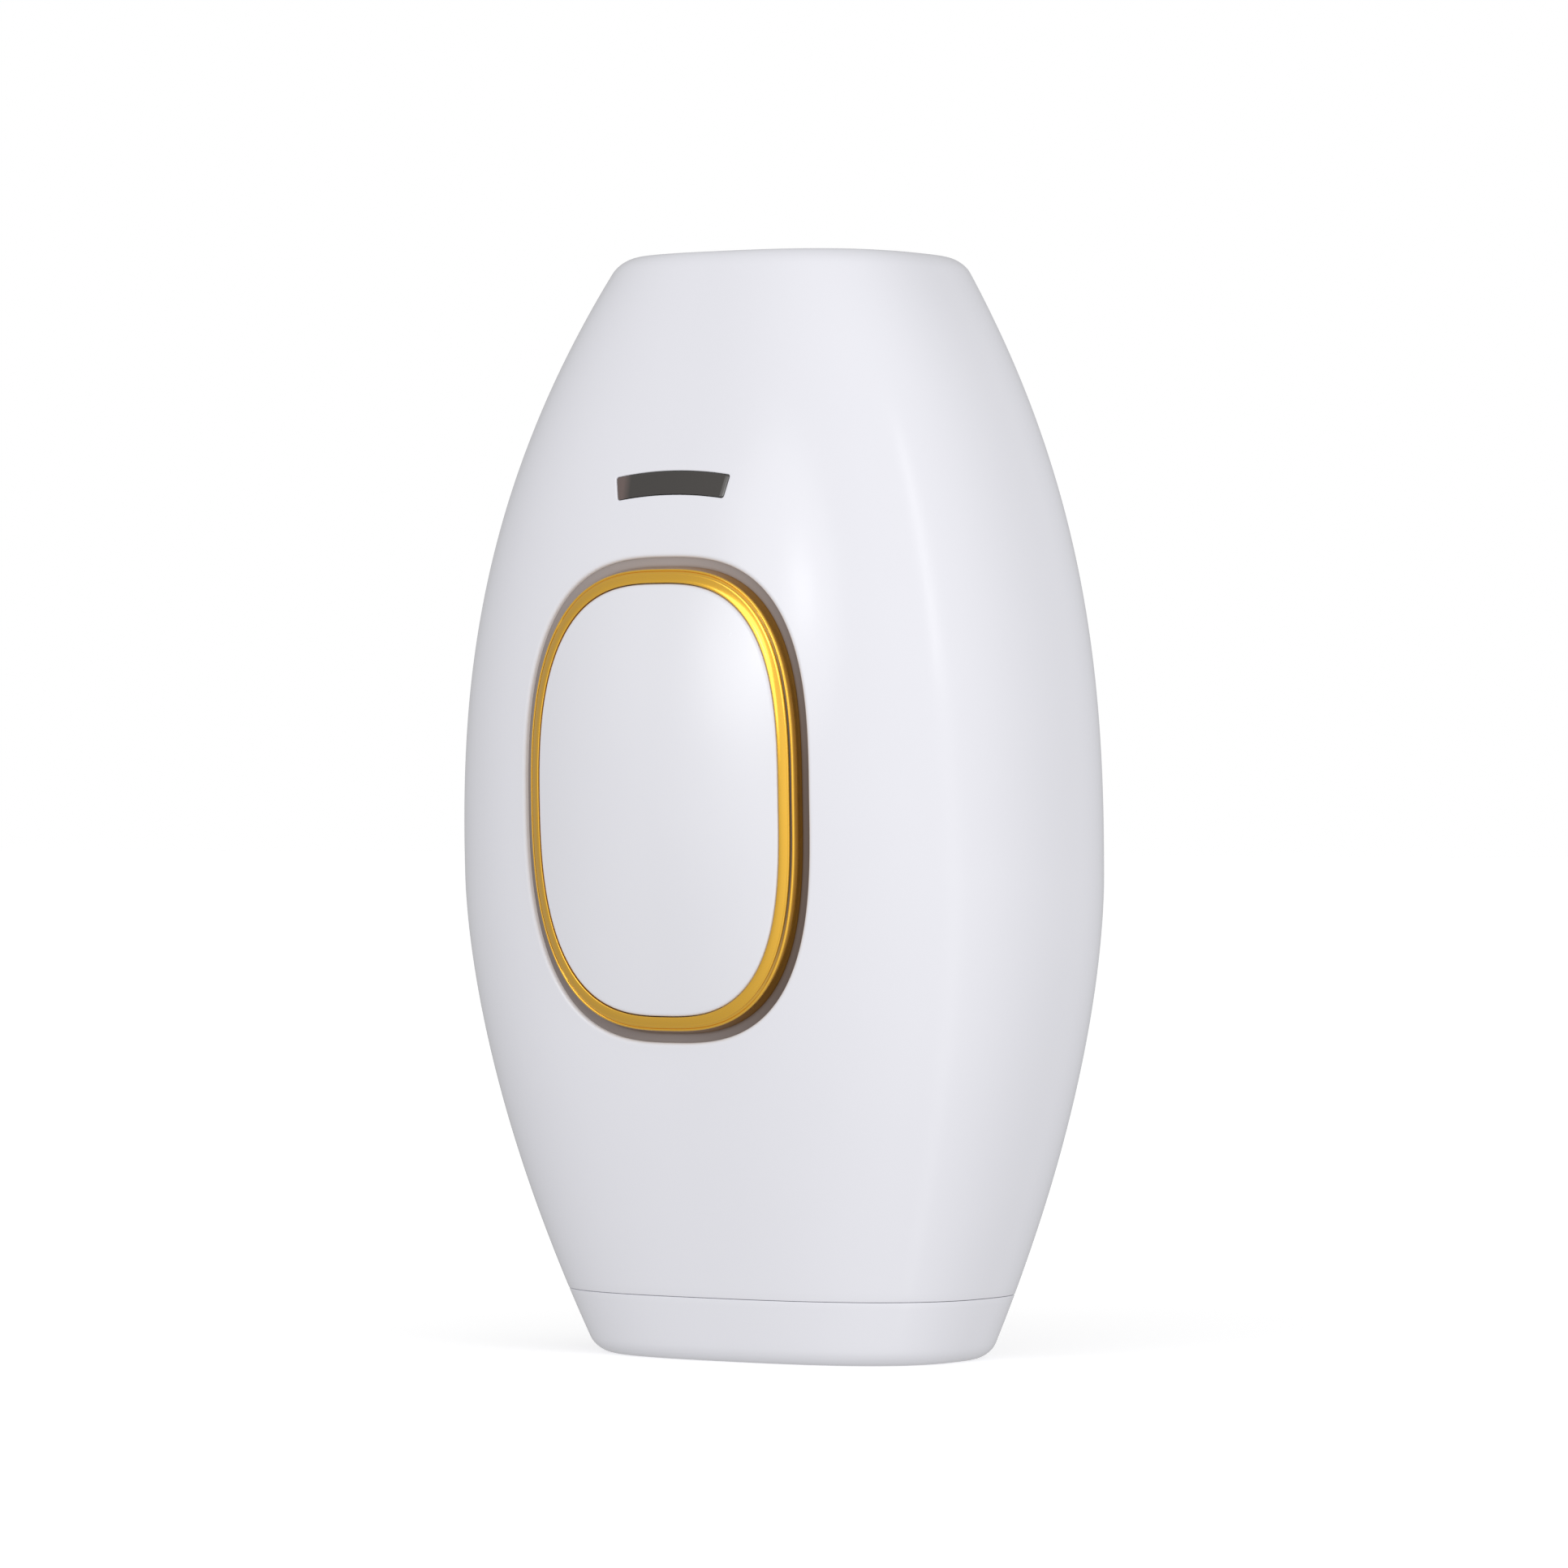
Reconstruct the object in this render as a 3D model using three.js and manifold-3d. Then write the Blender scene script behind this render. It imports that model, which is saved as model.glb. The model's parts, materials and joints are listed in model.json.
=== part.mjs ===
// A hand-held IPL (intense pulsed light) hair remover, as an assembly of its separate pieces.
// Millimetres, +Z up. The origin is the middle of the underside of the whole object's box, and the
// group is moved a little along Y so that it is: the numbers below are without that move.
// The thumb button faces -Y, the back cover faces +Y and the lamp window faces up.
import * as THREE from 'three';
import { mergeVertices } from 'three/addons/utils/BufferGeometryUtils.js';
import Module from 'manifold-3d';

const wasm = await Module();
wasm.setup();

// ---------------------------------------------------------------- driving dimensions

const HEIGHT = 140;         // casing, underside to top
const WALL = 2;             // moulded wall
const GAP = 0.3;            // clearance between neighbouring pieces
const END_ROUND = 2;        // fillet radius round the top and the bottom face
const SECTION_POWER = 2.7;  // each level section is a superellipse of this power

// Half sizes of the casing along its height: the largest value, the values at the two ends, the
// station of the largest value (-1 at the bottom, 1 at the top) and the power of each fall-off.
const HALF_WIDTH = { middle: 43, top: 20.7, bottom: 26.1, station: -0.131, up: 2.49, down: 1.68 };
const FRONT_DEPTH = { middle: 30.4, top: 18.5, bottom: 16.3, station: 0.108, up: 2, down: 2 };
const BACK_DEPTH = { middle: 20.5, top: 18.6, bottom: 16.7, station: -0.25, up: 2, down: 2 };

const CAP_HEIGHT = 8.24;    // seam between the casing and the bottom cap
const PARTING_DEPTH = 12.45; // parting plane of the back cover, behind the section axis
const COVER_TOP = 126;      // upper end of the back cover

// Superellipse opening in the face, for the ring and the button.
const RING = { halfWidth: 21.5, halfHeight: 30.35, z: 70.85, power: 2.8 };
const GROOVE = 1.3;         // opening's edge to the gold ring
const RING_WIDTH = 2.1;     // gold ring, across its band
const PROUD = 1;            // ring and button's edge above the casing's surface
const CROWN = 1.2;          // middle of the button above its edge
const CROWN_STEPS = [[4, 0.45], [8, 0.8], [12, 1]]; // inset of each step and its share of the crown
const BUTTON_TRAVEL = 0.8;

const DISPLAY = { radius: 39.9, thickness: 2.9, halfAngle: 12.1 * Math.PI / 180 };

const LAMP = { tubeZ: 123.4, windowX: 12.5, windowY: 4.3 };     // half sizes of the lit window
const FRAME = { halfX: 14.5, halfY: 6.5, corner: 3.2, flangeX: 18.2, flangeY: 8.7, flange: 1 };
const FRAME_PROUD = 0.3;    // contact frame above the casing's top face
const FRAME_TRAVEL = 0.6;

const FAN = { side: 40, depth: 10, z: 82.5, back: 21.7, bore: 18.6, hub: 7.5, screw: 16 };
const INTAKE = { rows: 7, pitch: 4.8, reach: 17.5, halfHeight: 1.1 }; // slots behind the fan
const EXHAUST = { rows: 3, pitch: 4.2, z: 110.5, halfLength: 11, taper: 1.2, halfHeight: 1 };
const BOARD = 1.6;          // thickness of a circuit board
const CONTROL_FRONT = -15.6; // front face of the control board
const POWER_FRONT = -4;     // front face of the power board
const STACK = { x: 17, low: 34, high: 108 }; // screws through both boards
const LEVEL_KEY = { z: 57, halfX: 6, halfZ: 3, travel: 0.6 };
const COVER_SCREW = { x: 25, low: 34, high: 108, seat: 19.9 };
const LAMP_SCREW = { x: 21.5, y: 6 };

// ---------------------------------------------------------------- worked-out values

const AXIS_Y = 5.4;         // section axis of the casing
const PARTING = AXIS_Y + PARTING_DEPTH;
const SIDES = 28;           // sides of a casing section
const LEVELS = 11;          // sections along the height, between the end fillets

// ---------------------------------------------------------------- solids

/** A closed geometry as a solid: shared corners merged, empty triangles left out, faces outward. */
function solid(geometry) {
  const bare = geometry.index ? geometry.clone() : geometry;
  bare.deleteAttribute('normal');
  bare.deleteAttribute('uv');
  const merged = mergeVertices(bare, 1e-4);
  const faces = [];
  const index = merged.index.array;
  for (let i = 0; i < index.length; i += 3) {
    const [a, b, c] = [index[i], index[i + 1], index[i + 2]];
    if (a !== b && b !== c && c !== a) faces.push([a, b, c]);
  }
  const vertProperties = new Float32Array(merged.attributes.position.array);
  const build = (order) => new wasm.Manifold(new wasm.Mesh({
    numProp: 3,
    vertProperties,
    triVerts: new Uint32Array(faces.flatMap(order)),
  }));
  const straight = build((face) => face);
  return straight.volume() > 0 ? straight : build(([a, b, c]) => [a, c, b]);
}

function block([x0, x1], [y0, y1], [z0, z1]) {
  const geometry = new THREE.BoxGeometry(x1 - x0, y1 - y0, z1 - z0);
  return solid(geometry.translate((x0 + x1) / 2, (y0 + y1) / 2, (z0 + z1) / 2));
}

/** A round bar between two points. */
function bar(from, to, radius, sides = 20) {
  const start = new THREE.Vector3(...from);
  const along = new THREE.Vector3(...to).sub(start);
  const geometry = new THREE.CylinderGeometry(radius, radius, along.length(), sides);
  geometry.translate(0, along.length() / 2, 0);
  const turn = new THREE.Quaternion();
  turn.setFromUnitVectors(new THREE.Vector3(0, 1, 0), along.clone().normalize());
  return solid(geometry.applyQuaternion(turn).translate(...from));
}

/** A flat outline drawn in X and Z, carried from one Y to another. */
function prismY(shape, yLow, yHigh, curveSegments = 4) {
  const geometry = new THREE.ExtrudeGeometry(shape, {
    depth: yHigh - yLow, bevelEnabled: false, curveSegments,
  });
  return solid(geometry.rotateX(Math.PI / 2).translate(0, yHigh, 0));
}

/** A flat outline drawn in X and Y, carried from one Z to another. */
function prismZ(shape, zLow, zHigh) {
  const geometry = new THREE.ExtrudeGeometry(shape, {
    depth: zHigh - zLow, bevelEnabled: false, curveSegments: 4,
  });
  return solid(geometry.translate(0, 0, zLow));
}

/** A flat outline drawn in Y and Z, carried from one X to another. */
function prismX(shape, xLow, xHigh) {
  const geometry = new THREE.ExtrudeGeometry(shape, {
    depth: xHigh - xLow, bevelEnabled: false, curveSegments: 8,
  });
  const turn = new THREE.Matrix4().makeBasis(
    new THREE.Vector3(0, 1, 0), new THREE.Vector3(0, 0, 1), new THREE.Vector3(1, 0, 0));
  return solid(geometry.applyMatrix4(turn).translate(xLow, 0, 0));
}

/** A rectangle with round corners, about a centre. */
function roundedRectangle(halfX, halfY, radius, centreX = 0, centreY = 0) {
  const shape = new THREE.Shape();
  const corner = (signX, signY, start) => shape.absarc(
    centreX + signX * (halfX - radius), centreY + signY * (halfY - radius),
    radius, start, start + Math.PI / 2);
  corner(1, 1, 0);
  corner(-1, 1, Math.PI / 2);
  corner(-1, -1, Math.PI);
  corner(1, -1, 1.5 * Math.PI);
  return shape;
}

/** A round wire along points, with six sides. */
function wire(points, radius, steps) {
  const path = new THREE.CatmullRomCurve3(points.map((point) => new THREE.Vector3(...point)));
  return tube(path, radius, steps, 6);
}

function tube(path, radius, steps, sides) {
  const section = new THREE.Shape();
  for (let i = 0; i < sides; i += 1) {
    const angle = (i / sides) * 2 * Math.PI;
    const point = [radius * Math.cos(angle), radius * Math.sin(angle)];
    if (i === 0) section.moveTo(...point);
    else section.lineTo(...point);
  }
  return solid(new THREE.ExtrudeGeometry(section, { steps, extrudePath: path }));
}

// ---------------------------------------------------------------- casing form

/** One half size of the casing at height z. */
function swell(profile, z) {
  const offset = (2 * z) / HEIGHT - 1 - profile.station;
  const upper = offset >= 0;
  const end = upper ? profile.top : profile.bottom;
  const reach = upper ? 1 - profile.station : 1 + profile.station;
  const power = upper ? profile.up : profile.down;
  return profile.middle - (profile.middle - end) * Math.abs(offset / reach) ** power;
}

/** How far the end fillets pull the section in at height z. */
function endInset(z) {
  const depth = Math.min(z, HEIGHT - z);
  if (depth >= END_ROUND) return 0;
  return END_ROUND - Math.sqrt(END_ROUND ** 2 - (END_ROUND - depth) ** 2);
}

/** Heights of the sections: close together in the end fillets. */
function stations(low, high) {
  const inFillet = [0, 0.3, 0.9].flatMap((depth) => [depth, HEIGHT - depth]);
  const pitch = (HEIGHT - 2 * END_ROUND) / LEVELS;
  const between = Array.from({ length: LEVELS + 1 }, (_, i) => END_ROUND + i * pitch);
  const inside = [...inFillet, ...between].filter((z) => z > low + 0.2 && z < high - 0.2);
  return [low, ...inside.sort((a, b) => a - b), high];
}

/** The casing's form between two heights, with its skin moved inwards (or outwards, if negative). */
function form(inset, low = 0, high = HEIGHT) {
  const profile = stations(low, high).map((z) => new THREE.Vector2(1, z));
  profile.unshift(new THREE.Vector2(0, low));
  profile.push(new THREE.Vector2(0, high));
  const geometry = new THREE.LatheGeometry(profile, SIDES);
  const position = geometry.attributes.position;
  for (let i = 0; i < position.count; i += 1) {
    const z = position.getY(i);
    const radius = Math.hypot(position.getX(i), position.getZ(i));
    const angle = Math.atan2(position.getZ(i), position.getX(i));
    const [cos, sin] = [Math.cos(angle), Math.sin(angle)];
    const pull = inset + endInset(z);
    const depth = sin < 0 ? swell(FRONT_DEPTH, z) : swell(BACK_DEPTH, z);
    const curve = (value) => Math.sign(value) * Math.abs(value) ** (2 / SECTION_POWER);
    position.setXYZ(i,
      radius * (swell(HALF_WIDTH, z) - pull) * curve(cos),
      AXIS_Y + radius * (depth - pull) * curve(sin),
      z);
  }
  return solid(geometry);
}

/** A skin of the casing's form between two insets. */
const layer = (outer, inner, low, high) => form(outer, low, high).subtract(
  form(inner, low - 1, high + 1));

/** Depth of the casing's front or back surface at a place. */
function surfaceY(x, z, back) {
  const half = swell(HALF_WIDTH, z);
  const share = (1 - Math.abs(x / half) ** SECTION_POWER) ** (1 / SECTION_POWER);
  return back ? AXIS_Y + swell(BACK_DEPTH, z) * share : AXIS_Y - swell(FRONT_DEPTH, z) * share;
}

/** Outline of the button opening, moved inwards. */
function ringOutline(inset) {
  const shape = new THREE.Shape();
  const points = 30;
  for (let i = 0; i < points; i += 1) {
    const angle = (i / points) * 2 * Math.PI;
    const [cos, sin] = [Math.cos(angle), Math.sin(angle)];
    const curve = (value) => Math.sign(value) * Math.abs(value) ** (2 / RING.power);
    const x = (RING.halfWidth - inset) * curve(cos);
    const z = RING.z + (RING.halfHeight - inset) * curve(sin);
    if (i === 0) shape.moveTo(x, z);
    else shape.lineTo(x, z);
  }
  return shape;
}

const FACE = [-40, -10];    // Y span that holds every piece of the control face
const ringPrism = (inset) => prismY(ringOutline(inset), ...FACE);

/** The band-shaped display outline: a sector of a ring about the button's centre. */
function displayOutline(inset) {
  const outer = DISPLAY.radius + DISPLAY.thickness / 2 - inset;
  const inner = DISPLAY.radius - DISPLAY.thickness / 2 + inset;
  const half = DISPLAY.halfAngle - inset / DISPLAY.radius;
  const shape = new THREE.Shape();
  shape.absarc(0, RING.z, outer, Math.PI / 2 - half, Math.PI / 2 + half, false);
  shape.absarc(0, RING.z, inner, Math.PI / 2 + half, Math.PI / 2 - half, true);
  return shape;
}

const displayPrism = (inset) => prismY(displayOutline(inset), ...FACE);

// ---------------------------------------------------------------- assembly

const group = new THREE.Group();
group.position.y = (FRONT_DEPTH.middle + PROUD + CROWN - BACK_DEPTH.middle) / 2 - AXIS_Y;

const finish = (color, roughness, metalness = 0) => ({ color, roughness, metalness });
const WHITE = finish(0xf1f0f6, 0.18);
const GOLD = finish(0xe0a83c, 0.2, 1);
const TAUPE = finish(0x9c8c8a, 0.5);
const SMOKE = finish(0x4a4845, 0.15);
const NYLON = finish(0xd9d8d4, 0.6);
const DARK = finish(0x2a2a2d, 0.55);
const CIRCUIT = finish(0x1f5a3c, 0.5);
const STEEL = finish(0xb9bcc0, 0.3, 1);
const ALUMINIUM = finish(0xc9ccd0, 0.35, 1);
const COPPER = finish(0xb8683a, 0.35, 1);
const GLASS = finish(0xcfe3ea, 0.05);
const AMBER = finish(0xc8742c, 0.1);
const SLEEVE = finish(0x28324f, 0.4);
const LEAD = finish(0xa3242a, 0.5);

/** Adds one named piece to the assembly. */
function add(name, body, material) {
  const mesh = body.getMesh();
  const geometry = new THREE.BufferGeometry();
  geometry.setAttribute('position', new THREE.BufferAttribute(mesh.vertProperties.slice(), 3));
  geometry.setIndex(new THREE.BufferAttribute(mesh.triVerts.slice(), 1));
  const item = new THREE.Mesh(geometry, new THREE.MeshStandardMaterial(material));
  item.name = name;
  group.add(item);
}

/** Both signs, for what stands on the left and on the right. */
const MIRRORED = [['left', -1], ['right', 1]];

// ---- casing

const FAR_SIDE = 60;        // past the casing's widest point
const lampRectangle = (halfX, halfY, radius) => roundedRectangle(halfX, halfY, radius, 0, AXIS_Y);

function frontShell() {
  const outside = form(0, CAP_HEIGHT + GAP / 2);
  const inside = form(WALL, CAP_HEIGHT - 1, HEIGHT - WALL);
  const behind = block([-FAR_SIDE, FAR_SIDE], [PARTING - GAP / 2, 60], [0, COVER_TOP + GAP / 2]);
  let shell = outside.subtract(inside).subtract(behind);
  shell = shell.subtract(ringPrism(0)).subtract(displayPrism(0));
  const room = GAP + 0.1;
  shell = shell.subtract(prismZ(
    lampRectangle(FRAME.halfX + room, FRAME.halfY + room, FRAME.corner + room), HEIGHT - 5, HEIGHT + 5));
  const core = form(WALL / 2, CAP_HEIGHT + 1, HEIGHT - WALL / 2);
  for (const [, side] of MIRRORED) {
    for (const z of [COVER_SCREW.low, COVER_SCREW.high]) {
      const x = side * COVER_SCREW.x;
      const boss = bar([x, -30, z], [x, PARTING - GAP / 2, z], 3.2, 16);
      const hole = bar([x, 6, z], [x, PARTING + 1, z], 1.5, 12);
      shell = shell.add(boss.intersect(core)).subtract(hole);
    }
    for (const z of [STACK.low, STACK.high]) {
      const x = side * STACK.x;
      const pillar = bar([x, -30, z], [x, CONTROL_FRONT - GAP, z], 2.6, 12);
      const hole = bar([x, CONTROL_FRONT - 1.4, z], [x, CONTROL_FRONT, z], 1.3, 10);
      shell = shell.add(pillar.intersect(core)).subtract(hole);
    }
    const x = side * LAMP_SCREW.x;
    const y = AXIS_Y + LAMP_SCREW.y;
    const hanger = bar([x, y, 119.3], [x, y, HEIGHT], 2.5, 14);
    const hole = bar([x, y, 118], [x, y, 127], 1.3, 10);
    shell = shell.add(hanger.intersect(core)).subtract(hole);
  }
  add('front_shell', shell, WHITE);
}

const COVER_SPAN = [18, 32]; // Y span that holds the back cover's middle

/** A level slot with round ends through the back cover. */
function ventSlot(halfLength, halfHeight, z) {
  return prismY(roundedRectangle(halfLength, halfHeight, halfHeight * 0.98, 0, z), ...COVER_SPAN, 2);
}

function ventSlots() {
  const intake = Array.from({ length: INTAKE.rows }, (_, row) => {
    const offset = (row - (INTAKE.rows - 1) / 2) * INTAKE.pitch;
    const halfLength = Math.sqrt(INTAKE.reach ** 2 - offset ** 2);
    return ventSlot(halfLength, INTAKE.halfHeight, FAN.z + offset);
  });
  const exhaust = Array.from({ length: EXHAUST.rows }, (_, row) => ventSlot(
    EXHAUST.halfLength - row * EXHAUST.taper, EXHAUST.halfHeight, EXHAUST.z + row * EXHAUST.pitch));
  return wasm.Manifold.union([...intake, ...exhaust]);
}

const levelKeyOutline = (inset) => roundedRectangle(
  LEVEL_KEY.halfX - inset, LEVEL_KEY.halfZ - inset, LEVEL_KEY.halfZ - inset - 0.05, 0, LEVEL_KEY.z);

function backCover() {
  const low = CAP_HEIGHT + GAP / 2;
  const high = COVER_TOP - GAP / 2;
  const half = block([-FAR_SIDE, FAR_SIDE], [PARTING + GAP / 2, 60], [low, high]);
  let cover = form(0, low).subtract(form(WALL, low - 1, HEIGHT - WALL)).intersect(half);
  cover = cover.subtract(ventSlots()).subtract(prismY(levelKeyOutline(0), ...COVER_SPAN));
  const room = form(WALL / 2).intersect(half);
  for (const [, side] of MIRRORED) {
    for (const z of [COVER_SCREW.low, COVER_SCREW.high]) {
      const x = side * COVER_SCREW.x;
      const boss = bar([x, PARTING + GAP / 2, z], [x, 40, z], 3.8, 18);
      const shank = bar([x, PARTING - 1, z], [x, 40, z], 1.5, 12);
      const recess = bar([x, COVER_SCREW.seat, z], [x, 40, z], 2.7, 18);
      cover = cover.add(boss.intersect(room)).subtract(shank).subtract(recess);
    }
    const [fanX, fanZ] = [side * FAN.screw, FAN.z + side * FAN.screw];
    const fanPost = bar([fanX, FAN.back + GAP, fanZ], [fanX, 40, fanZ], 2.4, 12);
    const fanHole = bar([fanX, FAN.back, fanZ], [fanX, FAN.back + 1.6, fanZ], 1.3, 10);
    cover = cover.add(fanPost.intersect(room)).subtract(fanHole);
    const keyPost = bar([side * 9.5, 17.4, LEVEL_KEY.z], [side * 9.5, 40, LEVEL_KEY.z], 1.5, 10);
    cover = cover.add(keyPost.intersect(form(WALL / 2)));
  }
  add('back_cover', cover, WHITE);
}

function bottomCap() {
  const high = CAP_HEIGHT - GAP / 2;
  let cap = form(0, 0, high).subtract(form(WALL, WALL, high + 1));
  cap = cap.subtract(bar([0, AXIS_Y, -1], [0, AXIS_Y, 5], 4.2, 24));
  for (const side of [-1, 1]) {
    const clip = block([-5, 5], [-0.8, 0.8], [1, 14]).translate([0, AXIS_Y + side * 13, 0]);
    cap = cap.add(clip);
  }
  add('bottom_cap', cap, WHITE);
}

function coverScrews() {
  for (const [name, side] of MIRRORED) {
    for (const [level, z] of [['low', COVER_SCREW.low], ['high', COVER_SCREW.high]]) {
      const x = side * COVER_SCREW.x;
      const head = bar([x, COVER_SCREW.seat + GAP, z], [x, COVER_SCREW.seat + 1.8, z], 2.3, 16);
      const slot = block([x - 1.8, x + 1.8], [COVER_SCREW.seat + 1.2, 30], [z - 0.35, z + 0.35]);
      const cross = block([x - 0.35, x + 0.35], [COVER_SCREW.seat + 1.2, 30], [z - 1.8, z + 1.8]);
      const shank = bar([x, 8, z], [x, COVER_SCREW.seat + 1, z], 1.2, 10);
      add(`cover_screw_${level}_${name}`, head.subtract(slot).subtract(cross).add(shank), STEEL);
    }
  }
}

// ---- control face

function controlFace() {
  const seatGap = 0.4;      // gold ring's back below the casing's surface
  const seatTop = seatGap + GAP;
  const seatBack = WALL + GAP + 1.1;
  const ringInner = GROOVE + RING_WIDTH;
  const seat = ringPrism(GAP).intersect(layer(seatTop, seatBack, 30, 112));
  const flange = ringPrism(-2).intersect(layer(WALL + GAP, seatBack, 30, 112));
  add('ring_seat', seat.add(flange).subtract(ringPrism(ringInner)), TAUPE);

  const band = ringPrism(GROOVE).subtract(ringPrism(ringInner));
  add('gold_ring', band.intersect(layer(-PROUD, seatGap, 30, 112)), GOLD);

  const edge = ringInner + GAP;
  const rim = ringPrism(edge).intersect(layer(-PROUD, 1.1, 30, 112));
  const crown = CROWN_STEPS.map(([inset, share]) => (
    ringPrism(edge + inset).intersect(layer(-PROUD - share * CROWN, 1, 30, 112))));
  const skirt = ringPrism(edge).subtract(ringPrism(edge + 1.4))
    .intersect(layer(0, seatBack + GAP + 1, 30, 112));
  const lip = ringPrism(edge - 1.3).subtract(ringPrism(edge + 1.4))
    .intersect(layer(seatBack + GAP, seatBack + GAP + 1, 30, 112));
  const front = surfaceY(0, RING.z, false);
  const plunger = bar([0, front + 0.5, RING.z], [0, SWITCH_TOP - BUTTON_TRAVEL - 0.1, RING.z], 2.5, 16);
  const face = crown.reduce((sum, step) => sum.add(step), rim);
  add('flash_button', face.add(skirt).add(lip).add(plunger), WHITE);

  add('display_window', displayPrism(GAP).intersect(layer(0.1, 1.6, 100, 118)), SMOKE);
}

// ---- boards between the control face and the fan

const SWITCH_TOP = CONTROL_FRONT - GAP - 6;

function boards() {
  const board = (halfX, front, low, high) => {
    let plate = block([-halfX, halfX], [front, front + BOARD], [low, high]);
    for (const x of [-STACK.x, STACK.x]) {
      for (const z of [STACK.low, STACK.high]) {
        plate = plate.subtract(bar([x, front - 1, z], [x, front + BOARD + 1, z], 1.3, 10));
      }
    }
    return plate;
  };
  add('control_board', board(20, CONTROL_FRONT, 31, 114), CIRCUIT);
  add('power_board', board(20.5, POWER_FRONT, 16, 112), CIRCUIT);

  const spacerFrom = CONTROL_FRONT + BOARD + GAP;
  const spacerTo = POWER_FRONT - GAP;
  const headFrom = POWER_FRONT + BOARD + GAP;
  for (const [name, side] of MIRRORED) {
    for (const [level, z] of [['low', STACK.low], ['high', STACK.high]]) {
      const x = side * STACK.x;
      const spacer = bar([x, spacerFrom, z], [x, spacerTo, z], 2.5, 6);
      const bore = bar([x, spacerFrom - 1, z], [x, spacerTo + 1, z], 1.3, 10);
      add(`board_spacer_${level}_${name}`, spacer.subtract(bore), NYLON);
      const shank = bar([x, CONTROL_FRONT - 1, z], [x, headFrom + 0.5, z], 1, 10);
      const head = bar([x, headFrom, z], [x, headFrom + 1.3, z], 2, 12);
      add(`stack_screw_${level}_${name}`, shank.add(head), STEEL);
    }
  }
}

function boardParts() {
  const front = CONTROL_FRONT - GAP;
  const back = CONTROL_FRONT + BOARD + GAP;
  const flashBody = block([-3, 3], [front - 3.5, front], [RING.z - 3, RING.z + 3]);
  const flashStem = bar([0, front - 3, RING.z], [0, SWITCH_TOP, RING.z], 1.75, 14);
  add('flash_switch', flashBody.add(flashStem), DARK);
  add('display_module', block([-9, 9], [front - 2.1, front], [107, 113.4]), NYLON);
  add('controller_chip', block([-5, 5], [back, back + 1.4], [80, 90]), DARK);

  const powerFront = POWER_FRONT - GAP;
  const powerBack = POWER_FRONT + BOARD + GAP;
  const core = block([-11, 11], [-13.2, powerFront], [18, 30]);
  const slot = block([-7, 7], [-13.6, -10.4], [17, 31]);
  const winding = bar([0, -9, 16.6], [0, -9, 31.4], 4.4, 18);
  add('charge_transformer', core.subtract(slot).add(winding), COPPER);
  add('trigger_coil', bar([-7, -9, 95], [7, -9, 95], 4, 16), COPPER);
  add('igbt', block([4, 14], [powerBack, powerBack + 4.4], [60, 75]), DARK);

  for (const [name, side] of MIRRORED) {
    const can = bar([side * 10, 8.6, 20], [side * 10, 8.6, 50], 9, 20);
    const neck = bar([side * 10, 8.6, 47.6], [side * 10, 8.6, 48.2], 10, 20).subtract(
      bar([side * 10, 8.6, 47], [side * 10, 8.6, 49], 8.6, 20));
    add(`storage_capacitor_${name}`, can.subtract(neck), SLEEVE);
  }
}

// ---- level key on the back

function levelKey() {
  const back = surfaceY(0, LEVEL_KEY.z, true);
  const cap = prismY(levelKeyOutline(GAP), ...COVER_SPAN).intersect(form(0.2)).subtract(
    block([-20, 20], [0, back - 3.2], [40, 70]));
  const lip = prismY(roundedRectangle(7, 4, 2, 0, LEVEL_KEY.z), back - 3.5, back - WALL - GAP - 0.2);
  add('level_button', cap.add(lip), WHITE);
  add('key_board', block([-11, 11], [15.9, 17.1], [LEVEL_KEY.z - 4, LEVEL_KEY.z + 4]), CIRCUIT);
  const stemTop = back - 3.5 - LEVEL_KEY.travel - 0.1;
  const body = block([-3, 3], [17.4, 20], [LEVEL_KEY.z - 3, LEVEL_KEY.z + 3]);
  const stem = bar([0, 19, LEVEL_KEY.z], [0, stemTop, LEVEL_KEY.z], 1.5, 12);
  add('level_switch', body.add(stem), DARK);
}

// ---- lamp head

const GLASS_TOP = HEIGHT - 4.4;

function lampHolder() {
  const bottom = 117;
  const top = GLASS_TOP - 0.6;
  let holder = prismZ(lampRectangle(15.7, 6.4, 1.5), bottom, top);
  holder = holder.add(prismZ(lampRectangle(24.2, 10, 2), bottom, bottom + 2));
  for (const side of [-1, 1]) {
    const x = [side * 15, side * 18.7].sort((a, b) => a - b);
    holder = holder.add(block(x, [AXIS_Y - 2, AXIS_Y + 2], [127, 128]));
    const screwX = side * LAMP_SCREW.x;
    const screwY = AXIS_Y + LAMP_SCREW.y;
    holder = holder.subtract(bar([screwX, screwY, 110], [screwX, screwY, 120], 1.5, 12));
    const notch = [side * 18.9, side * 25].sort((a, b) => a - b);
    holder = holder.subtract(block(notch, [AXIS_Y - 2, AXIS_Y + 2], [110, 121]));
  }
  const shelf = block([-5, 5], [AXIS_Y - 9.3, AXIS_Y - 6], [126.2, 127.2]);
  holder = holder.add(shelf);
  holder = holder.subtract(prismZ(lampRectangle(13.5, 4.1, 0.8), bottom - 1, top + 1));
  holder = holder.subtract(prismZ(lampRectangle(14.3, 4.9, 0.8), GLASS_TOP - 2.2 - GAP, top + 1));
  holder = holder.subtract(bar([-20, AXIS_Y, LAMP.tubeZ], [20, AXIS_Y, LAMP.tubeZ], 3, 16));
  add('lamp_holder', holder, DARK);
}

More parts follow.
